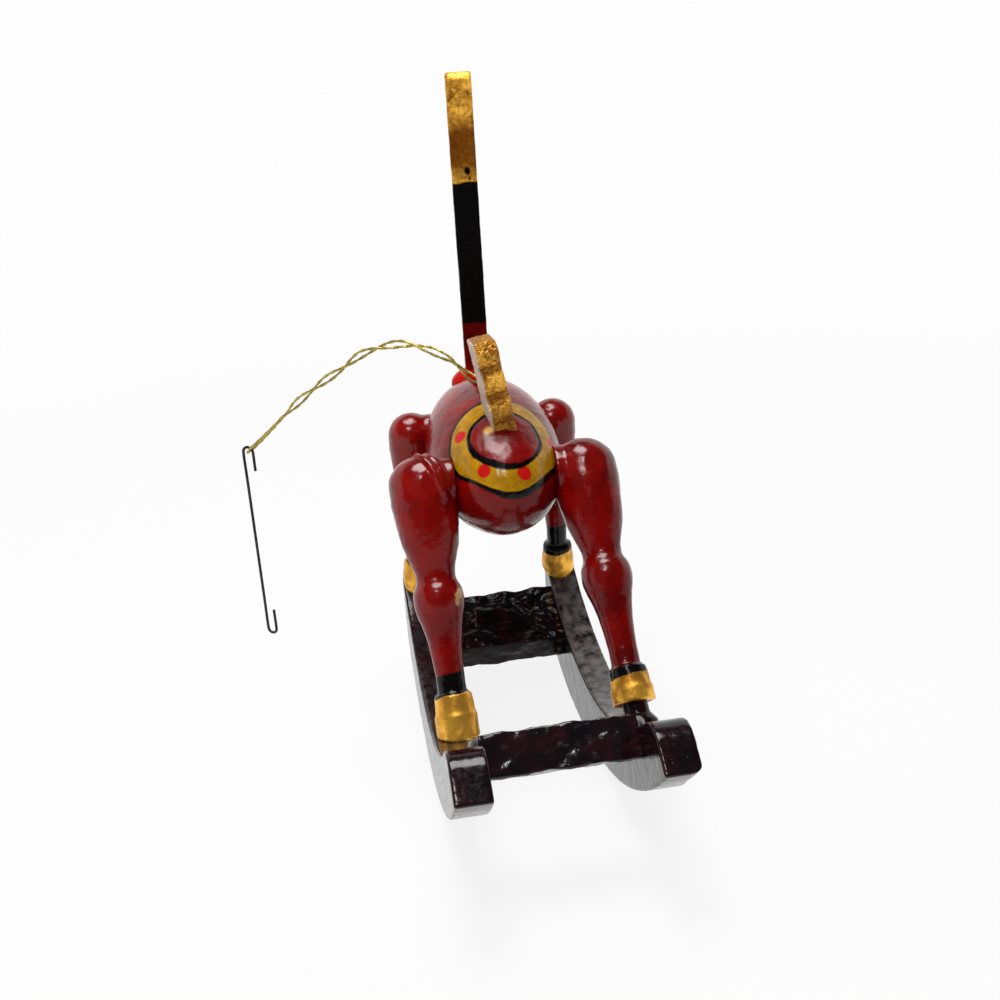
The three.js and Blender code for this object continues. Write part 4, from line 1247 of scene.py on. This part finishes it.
class ORNAMENT_OT_rockers(bpy.types.Operator):
    """Saw the two rockers and the two stretchers between them"""

    bl_idname = "ornament.rockers"
    bl_label = "Rockers"

    # Passes that round the edges over
    rocker_rounding = 14
    bar_rounding = 8
    # The bars are longer than the space between the rockers
    bar_excess = 0.4

    def execute(self, context):
        sizes, colours = context.scene.ornament_sizes, context.scene.ornament_colours
        for name, side, dusty in (("left", -1, 0.1), ("right", 1, 1.0)):
            lacquer = f"rocker_{name}_black_lacquer"
            finish = black_lacquer(lacquer, colours, lumps=170, gloss=ROCKER_GLOSS, roll=0.07, dusty=dusty)
            self.saw_rocker(name, side, sizes, finish)
        for name, bar in BARS.items():
            self.saw_bar(name, bar, sizes, colours)
        return {"FINISHED"}

    def saw_rocker(self, name, side, sizes, finish):
        work = bmesh.new()
        add_sawn(work, rocker_outline(), ROCKER_THICKNESS)
        board = mesh_of(f"rocker_{name}_board", work)
        mesh = lacquered(board, sizes.voxel, self.rocker_rounding, sizes.lump / 2)
        if side > 0:
            round_knob(mesh)
        place = placed(X_AXIS * (side * ROCKER_SPACING / 2), SIDE_AXES)
        show(f"rocker_{name}_board", mesh, place, finish, [f"rocker_{name}"])

    def saw_bar(self, name, bar, sizes, colours):
        inside = ROCKER_SPACING - ROCKER_THICKNESS
        half_depth, half_height = bar["depth"] / 2, bar["height"] / 2
        outline = Outline(-half_depth, -half_height)
        outline.line(half_depth, -half_height)
        outline.line(half_depth, half_height)
        outline.line(-half_depth, half_height)
        work = bmesh.new()
        add_sawn(work, outline.points, inside + self.bar_excess)
        for end in bar["gathered_ends"]:
            gathered = Vector((0, half_height - FILLET_RADII[1], end * inside / 2))
            add_egg(work, gathered * MM, FILLET_RADII)
        board = mesh_of(f"stretcher_{name}_board", work)
        mesh = lacquered(board, sizes.voxel, self.bar_rounding, sizes.bar_lump)
        up = rocker_up(bar["at"])
        ahead = Vector((0, up.z, -up.y))
        middle = Vector((0, bar["at"], rocker_top(bar["at"]))) - up * (bar["drop"] + half_height)
        place = placed(middle, (ahead, up, X_AXIS))
        worn_end = inside / 2 - bar["worn"] if bar["worn"] else None
        lacquer = f"stretcher_{name}_lacquer"
        finish = black_lacquer(lacquer, colours, lumps=260, gloss=bar["gloss"], roll=1, worn_end=worn_end)
        show(f"stretcher_{name}_board", mesh, place, finish, [f"stretcher_{name}"])


# Bends of the neck board's side view, in millimetres and then as shares
NECK_FLARE = 1
NECK_HOLLOW = 1.5
NECK_FOOT_CURVE = 3
NAPE_RISE = 4
BEAM_TAPER = 1
JAW_ROUND = 2
NOSE_ROUND = 2.5
FOREHEAD = 3
NECK_MIDDLE = 0.55
TINE_LOWER_ROOT = 0.2
TINE_CROTCH = 0.65
TINE_UPPER_ROOT = 0.95


def neck_outline():
    """Side view of the neck, head and antlers, forward and up from the neck's foot."""
    back, front = -NECK_WIDTH / 2, NECK_WIDTH / 2
    foot = -body_radius_at(NECK_ALONG) / 2
    jaw = NECK_LENGTH
    bridge = jaw + MUZZLE_DEPTH
    poll = NECK_LENGTH + HEAD_HEIGHT
    top = poll + ANTLER_HEIGHT
    nose = front + MUZZLE_LENGTH
    beam_back = back - NECK_SWEEP
    beam_front = beam_back + ANTLER_BEAM
    outline = Outline(back, foot)
    outline.line(front, foot)
    outline.line(front + NECK_FLARE, 0)
    outline.curve(front - NECK_HOLLOW, jaw * NECK_MIDDLE, front, jaw - NECK_FLARE)
    outline.curve(front + JAW_ROUND, jaw + JAW_ROUND, nose - NOSE_ROUND, jaw)
    outline.curve(nose, jaw, nose, jaw + NOSE_ROUND)
    outline.curve(nose, bridge, nose - NOSE_ROUND, bridge)
    outline.curve(front + FOREHEAD, bridge + NECK_FLARE, front, poll - FOREHEAD)
    outline.curve(front, poll, beam_front, poll)
    rise = (ANTLER_HEIGHT - ANTLER_BEAM / 2) / ANTLER_TINES
    for level in range(ANTLER_TINES):
        root = poll + rise * level
        reach = beam_front + ANTLER_REACH - TINE_STEP * level
        outline.line(beam_front, root + rise * TINE_LOWER_ROOT)
        outline.curve(reach - TINE_TIP, root + rise * TINE_LOWER_ROOT, reach, root + rise)
        outline.line(reach - TINE_TIP, root + rise + TINE_TIP / 2)
        crotch = Vector((beam_front + 2 * TINE_TIP, root + rise * TINE_CROTCH))
        outline.curve(*crotch, beam_front, root + rise * TINE_UPPER_ROOT)
    outline.curve(beam_front, top, beam_front - ANTLER_BEAM / 2, top)
    outline.curve(beam_back, top, beam_back, top - ANTLER_BEAM / 2)
    outline.line(beam_back + BEAM_TAPER, poll + NAPE_RISE)
    outline.curve(beam_back, poll + NAPE_RISE / 4, beam_back + BEAM_TAPER, poll - NAPE_RISE / 4)
    outline.curve(back, jaw + NAPE_RISE, back + BEAM_TAPER, jaw * NECK_MIDDLE)
    outline.curve(back + BEAM_TAPER, NECK_FOOT_CURVE, back - NECK_FLARE / 2, 0)
    return outline.points


# The lacquer pooled round the neck's foot
POOL_CENTRE = Vector((-1.2, 0, -0.6))
POOL_RADII = (4.6, 3.2, 5)


class ORNAMENT_OT_neck(bpy.types.Operator):
    """Saw the neck, head and antlers from one board and paint them"""

    bl_idname = "ornament.neck"
    bl_label = "Neck board"

    # Passes that round the edges over
    rounding = 4

    def execute(self, context):
        sizes, colours = context.scene.ornament_sizes, context.scene.ornament_colours
        work = bmesh.new()
        add_sawn(work, neck_outline(), NECK_THICKNESS)
        add_egg(work, POOL_CENTRE * MM, POOL_RADII)
        mesh = lacquered(mesh_of("neck_board_sawn", work), sizes.voxel, self.rounding, sizes.lump)
        turn = Matrix.Rotation(NECK_TURN, 3, "Z")
        foot = body_point(NECK_ALONG, body_radius_at(NECK_ALONG), NECK_ASIDE)
        place = placed(foot, [turn @ axis for axis in SIDE_AXES])
        show("neck_board_sawn", mesh, place, neck_paint(colours), ["neck_board"])
        return {"FINISHED"}


# Depth of the tail's foot in the body, as a share of the body's radius there
TAIL_SUNK = 1 / 4


def tail_outline():
    """Side view of the tail, forward and up from its foot."""
    rear, front = -TAIL_FOOT / 2, TAIL_FOOT / 2
    sink = -body_radius_at(TAIL_ALONG) * TAIL_SUNK
    step_height, step_rake = TAIL_HEIGHT / TAIL_SCALLOPS, TAIL_RAKE / TAIL_SCALLOPS
    outline = Outline(rear, sink)
    outline.line(rear, 0)
    for step in range(TAIL_SCALLOPS):
        bulge = rear + step_rake * step - TAIL_SCALLOP
        end = rear + step_rake * (step + 1)
        outline.curve(bulge, step_height * (step + 0.5), end, step_height * (step + 1))
    outline.line(rear + TAIL_RAKE + TAIL_TOP_WIDTH, TAIL_HEIGHT)
    outline.curve(front - TAIL_RAKE, TAIL_HEIGHT / 2, front, 0)
    outline.line(front, sink)
    return outline.points


class ORNAMENT_OT_tail(bpy.types.Operator):
    """Saw the scalloped tail and paint it gold"""

    bl_idname = "ornament.tail"
    bl_label = "Tail"

    # Passes that round the edges over
    rounding = 4
    # The tail is lumpier than the other pieces
    lumpiness = 2

    def execute(self, context):
        sizes, colours = context.scene.ornament_sizes, context.scene.ornament_colours
        work = bmesh.new()
        add_sawn(work, tail_outline(), TAIL_THICKNESS)
        lump = self.lumpiness * sizes.lump
        mesh = lacquered(mesh_of("tail_sawn", work), sizes.voxel, self.rounding, lump)
        turn = Matrix.Rotation(TAIL_TURN, 3, "Z") @ Matrix.Rotation(TAIL_LEAN, 3, "Y")
        foot = body_point(TAIL_ALONG, body_radius_at(TAIL_ALONG), TAIL_ASIDE)
        place = placed(foot, [turn @ axis for axis in SIDE_AXES])
        show("tail_sawn", mesh, place, tail_paint(colours), ["tail"])
        return {"FINISHED"}


def eye_centre():
    foot = body_point(EYE_ALONG, body_radius_at(EYE_ALONG))
    return foot + Z_AXIS * (EYE_STAND + EYE_RING + EYE_WIRE)


# Steps between the chosen points of the thread's route, of each strand and of the hook
ROUTE_STEPS = 40
STRAND_STEPS = 8
HOOK_STEPS = 8
# Length of one turn of the thread's two plies, and how thin it is across them
PLY_PITCH = 2.4
PLY_WAIST = 0.64


def thread_path():
    """Out from the knot, round the hook's crook and back, each half twisted about the other."""
    eye = eye_centre()
    route = [eye + X_AXIS * KNOT_LENGTH, eye, *(Vector(point) for point in THREAD_ROUTE)]
    middle = even_path(smooth_path(route, ROUTE_STEPS), THREAD_STATIONS)
    out, back = [], []
    for station in range(THREAD_STATIONS):
        share = station / THREAD_STATIONS
        tangent = (middle[station + 1] - middle[max(station - 1, 0)]).normalized()
        level = Vector((-tangent.y, tangent.x, 0)).normalized()
        upright = tangent.cross(level)
        opening = max(0.0, (share - LOOP_START) / (1 - LOOP_START))
        opening = opening * opening * (3 - 2 * opening)
        offset = STRAND_OFFSET + (LOOP_HALF_WIDTH - STRAND_OFFSET) * opening
        angle = 2 * math.pi * STRAND_TWISTS * min(share / LOOP_START, 1)
        aside = level * offset * math.cos(angle) + upright * offset * math.sin(angle)
        out.append(middle[station] + aside)
        back.insert(0, middle[station] - aside)
    return smooth_path([*out, Vector(THREAD_ROUTE[-1]), *back], STRAND_STEPS)


def plied(distance, angle):
    """Section of a two-ply thread."""
    turns = 2 * math.pi * distance / PLY_PITCH
    swing = math.cos(2 * angle - turns)
    return THREAD_RADIUS * ((1 + PLY_WAIST) + (1 - PLY_WAIST) * swing) / 2


BEND_STEPS = 8
SHANK_STEPS = 6


def hook_path():
    """The hook's wire from the tip of its crook, over and down to the fold at its foot."""
    points = [Vector((HOOK_CROOK, 0, -HOOK_TIP)), Vector((HOOK_CROOK, 0, -HOOK_TIP / 2))]
    for turn in range(BEND_STEPS + 1):
        angle = math.pi * turn / BEND_STEPS
        points.append(Vector((HOOK_CROOK * math.cos(angle), 0, HOOK_CROOK * math.sin(angle))))
    for step in range(1, SHANK_STEPS):
        points.append(Vector((-HOOK_CROOK, 0, -HOOK_LENGTH * step / SHANK_STEPS)))
    for turn in range(BEND_STEPS + 1):
        angle = math.pi * turn / BEND_STEPS
        across = -HOOK_CROOK + HOOK_FOOT - HOOK_FOOT * math.cos(angle)
        points.append(Vector((across, 0, -HOOK_LENGTH - HOOK_FOOT * math.sin(angle))))
    points.append(Vector((2 * HOOK_FOOT - HOOK_CROOK, 0, HOOK_FOOT_LENGTH - HOOK_LENGTH)))
    return smooth_path(points, HOOK_STEPS)


class ORNAMENT_OT_hanger(bpy.types.Operator):
    """Make the screw eye, the gold thread with its knot and the wire hook"""

    bl_idname = "ornament.hanger"
    bl_label = "Hanger"

    thread_sides = 12
    wire_sides = 14
    eye_steps = 48
    # The screw eye's ring is open by this much sideways
    eye_pitch = 0.24
    knot_steps = 96
    knot_depth = 1.3
    knot_scale = 0.4

    def execute(self, context):
        colours = context.scene.ornament_colours
        self.make_eye(colours)
        gold = thread_gold(colours)
        path = thread_path()
        work = bmesh.new()
        add_swept(work, path, plied, self.thread_sides)
        mesh = mesh_of("thread_strand", work)
        place = placed(Vector(), LEVEL_AXES)
        thread = show("thread_strand", mesh, place, gold, ["hanger_thread"])
        knot = self.make_knot(gold)
        hook = self.make_hook(colours)
        route = [(point + ROW_SHIFT) * MM for point in path]
        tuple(route[0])
        path_length(route)
        return {"FINISHED"}

    def make_eye(self, colours):
        loop = []
        for step in range(self.eye_steps + 1):
            share = step / self.eye_steps
            angle = 2 * math.pi * share - math.pi / 2
            aside = self.eye_pitch * (share - 1 / 2)
            loop.append(Vector((aside, EYE_RING * math.cos(angle), EYE_RING * math.sin(angle))))
        shank = [Vector((0, 0, -EYE_RING - EYE_STAND - EYE_SHANK)), Vector((0, 0, -EYE_RING))]
        work = bmesh.new()
        for path in (loop, shank):
            add_swept(work, path, round_section(EYE_WIRE), self.wire_sides)
        place = placed(eye_centre(), LEVEL_AXES)
        brass = wire_metal("eye_brass", colours.brass, rough=0.3)
        show("eye_ring", mesh_of("eye_ring", work), place, brass, ["hanger_eye"])

    def make_knot(self, gold):
        """A tight overhand knot of the same thread."""
        points = []
        for step in range(self.knot_steps + 1):
            angle = 2 * math.pi * step / self.knot_steps
            across = -math.sin(3 * angle) * self.knot_depth
            ahead = math.sin(angle) + 2 * math.sin(2 * angle)
            up = math.cos(angle) - 2 * math.cos(2 * angle)
            points.append(Vector((across, ahead, up)) * self.knot_scale)
        work = bmesh.new()
        add_swept(work, points, plied, self.thread_sides)
        mesh = mesh_of("thread_knot", work)
        place = placed(eye_centre() + X_AXIS * KNOT_LENGTH, LEVEL_AXES)
        return show("thread_knot", mesh, place, gold, ["hanger_thread"])

    def make_hook(self, colours):
        before, end = Vector(THREAD_ROUTE[-2]), Vector(THREAD_ROUTE[-1])
        inward = (before - end) * Vector((1, 1, 0))
        inward.normalize()
        place = placed(end, (inward, Z_AXIS.cross(inward), Z_AXIS))
        work = bmesh.new()
        add_swept(work, hook_path(), round_section(HOOK_WIRE), self.wire_sides)
        mesh = mesh_of("hook_wire", work)
        steel = wire_metal("hook_dark_steel", colours.steel, rough=0.35)
        return show("hook_wire", mesh, place, steel, ["hanger_hook"], "hook")


class ORNAMENT_OT_dowels(bpy.types.Operator):
    """Give the hidden dowels their bare wood"""

    bl_idname = "ornament.dowels"
    bl_label = "Dowels"

    def execute(self, context):
        wood = bare_wood(context.scene.ornament_colours)
        for name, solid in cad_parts.items():
            if name.endswith("dowel") or name.startswith("hip_dowel"):
                solid.data.materials.clear()
                solid.data.materials.append(wood)
        return {"FINISHED"}


class ORNAMENT_OT_stage(bpy.types.Operator):
    """Lay the pale floor, light it softly and set the camera"""

    bl_idname = "ornament.stage"
    bl_label = "Stage"

    floor_radius = 4
    floor_sides = 96
    # The floor's own shade shows near the ornament and fades to white further off, in metres
    white_reach = (0.1, 0.45)
    white_shares = (0.85, 0.985)
    backdrop_white = (0.985, 0.985, 0.985)
    dim_room = (0.06, 0.06, 0.065)
    # Angles of the broad fill, in degrees
    fill_spread = 60
    fill_turn = (38, -42, 0)
    # Place and size of each soft box, in metres, and the place they all light
    boxes = {"top_box": ((-0.03, 0.055, 0.5), 0.23), "rear_box": ((-0.09, -0.24, 0.46), 0.09)}
    lit_place = (0, 0, 0.06)

    def execute(self, context):
        settings = context.scene.ornament_stage
        scene = context.scene
        scene.view_settings.view_transform = "Standard"
        self.lay_floor(scene, settings)
        self.light_world(scene)
        self.add_fill(scene, settings)
        for name, (place, size) in self.boxes.items():
            self.add_box(scene, name, Vector(place), size, getattr(settings, name))
        camera = bpy.data.objects.new("camera", bpy.data.cameras.new("camera"))
        camera.data.lens = CAMERA_LENS
        camera.data.sensor_width = CAMERA_SENSOR
        camera.data.clip_start = CAMERA_NEAR
        camera.location = CAMERA_PLACE * MM
        camera.rotation_euler = [math.radians(angle) for angle in CAMERA_TURN]
        scene.collection.objects.link(camera)
        scene.camera = camera
        return {"FINISHED"}

    def lay_floor(self, scene, settings):
        work = bmesh.new()
        bmesh.ops.create_circle(work, cap_ends=True, segments=self.floor_sides, radius=self.floor_radius)
        floor = bpy.data.objects.new("floor", mesh_of("floor", work))
        floor.location.z = CAD_LOW.z
        scene.collection.objects.link(floor)
        finish = Finish("floor_paper")
        fibres = finish.grain(scale=60, detail=4)
        shade = opaque(settings.floor, share=0.985)
        finish.set(base_color=finish.over(fibres, opaque(settings.floor), shade), roughness=0.9)
        self.show_white(finish)
        floor.data.materials.append(finish.material)

    def show_white(self, finish):
        """Lets the floor look nearly white in the picture and in reflections, under its shadow."""
        rays = node(finish.tree, "ShaderNodeLightPath").outputs
        seen = finish.sums("MAXIMUM", rays["Is Camera Ray"], rays["Is Glossy Ray"])
        seen = finish.sums("MAXIMUM", seen, rays["Is Transmission Ray"])
        share = finish.ramp(finish.distance((0, 0, 0)), *self.white_reach, *self.white_shares)
        white = node(finish.tree, "ShaderNodeEmission", {"Color": (1, 1, 1, 1), "Strength": 1.0}).outputs[0]
        layers = {0: finish.times(seen, share), 1: finish.shader.outputs[0], 2: white}
        both = node(finish.tree, "ShaderNodeMixShader", layers)
        finish.tree.links.new(both.outputs[0], finish.tree.nodes["Material Output"].inputs["Surface"])

    def light_world(self, scene):
        """A white backdrop ahead and a low white horizon all round, with a dim room above and behind."""
        world = bpy.data.worlds.new("studio")
        world.use_nodes = True
        scene.world = world
        tree = world.node_tree
        direction = node(tree, "ShaderNodeTexCoord").outputs["Generated"]
        axes = node(tree, "ShaderNodeSeparateXYZ", {0: direction}).outputs
        backdrop_top = ramp(tree, axes["Y"], low=-0.3, high=0.5, start=0.06, end=0.6)
        above = ramp(tree, sums(tree, "SUBTRACT", axes["Z"], backdrop_top), low=0, high=0.15)
        # The picture itself shows white on every side, and only reflections and light meet the room
        unseen = sums(tree, "SUBTRACT", 1.0, node(tree, "ShaderNodeLightPath").outputs["Is Camera Ray"])
        room = sums(tree, "MULTIPLY", above, unseen)
        colour = paint_over(tree, room, opaque(self.backdrop_white), opaque(self.dim_room))
        tree.links.new(colour, tree.nodes["Background"].inputs["Color"])

    def add_fill(self, scene, settings):
        """A broad fill that leaves no highlight."""
        fill = bpy.data.objects.new("broad_fill", bpy.data.lights.new("broad_fill", "SUN"))
        fill.data.energy = settings.fill
        fill.data.angle = math.radians(self.fill_spread)
        fill.rotation_euler = [math.radians(angle) for angle in self.fill_turn]
        fill.visible_glossy = False
        scene.collection.objects.link(fill)

    def add_box(self, scene, name, place, size, power):
        """A soft box that leaves a highlight."""
        box = bpy.data.objects.new(name, bpy.data.lights.new(name, "AREA"))
        box.data.energy = power
        box.data.size = size
        box.location = place
        box.rotation_euler = (Vector(self.lit_place) - place).to_track_quat("-Z", "Y").to_euler()
        scene.collection.objects.link(box)


class ORNAMENT_PT_panel(bpy.types.Panel):
    """Lists the ornament's sizes, colours and pieces"""

    bl_idname = "ORNAMENT_PT_panel"
    bl_label = "Rocking Reindeer"
    bl_space_type = "VIEW_3D"
    bl_region_type = "UI"
    bl_category = "Ornament"

    def draw(self, context):
        for group_name in PROPERTY_GROUPS:
            group = getattr(context.scene, group_name)
            for name in group.__annotations__:
                self.layout.prop(group, name)
        for operator in OPERATORS:
            self.layout.operator(operator.bl_idname)


PROPERTY_GROUPS = {
    "ornament_sizes": OrnamentSizes,
    "ornament_colours": OrnamentColours,
    "ornament_stage": StageSettings,
}
OPERATORS = (
    ORNAMENT_OT_stage,
    ORNAMENT_OT_hanger,
    ORNAMENT_OT_body,
    ORNAMENT_OT_legs,
    ORNAMENT_OT_rockers,
    ORNAMENT_OT_neck,
    ORNAMENT_OT_tail,
    ORNAMENT_OT_dowels,
)


def register():
    for name, group in PROPERTY_GROUPS.items():
        bpy.utils.register_class(group)
        setattr(bpy.types.Scene, name, bpy.props.PointerProperty(type=group))
    for operator in OPERATORS:
        bpy.utils.register_class(operator)
    bpy.utils.register_class(ORNAMENT_PT_panel)


def unregister():
    bpy.utils.unregister_class(ORNAMENT_PT_panel)
    for operator in reversed(OPERATORS):
        bpy.utils.unregister_class(operator)
    for name, group in PROPERTY_GROUPS.items():
        delattr(bpy.types.Scene, name)
        bpy.utils.unregister_class(group)


def main():
    register()
    for operator in OPERATORS:
        getattr(bpy.ops.ornament, operator.bl_idname.split(".")[1])()


if __name__ == "__main__":
    main()
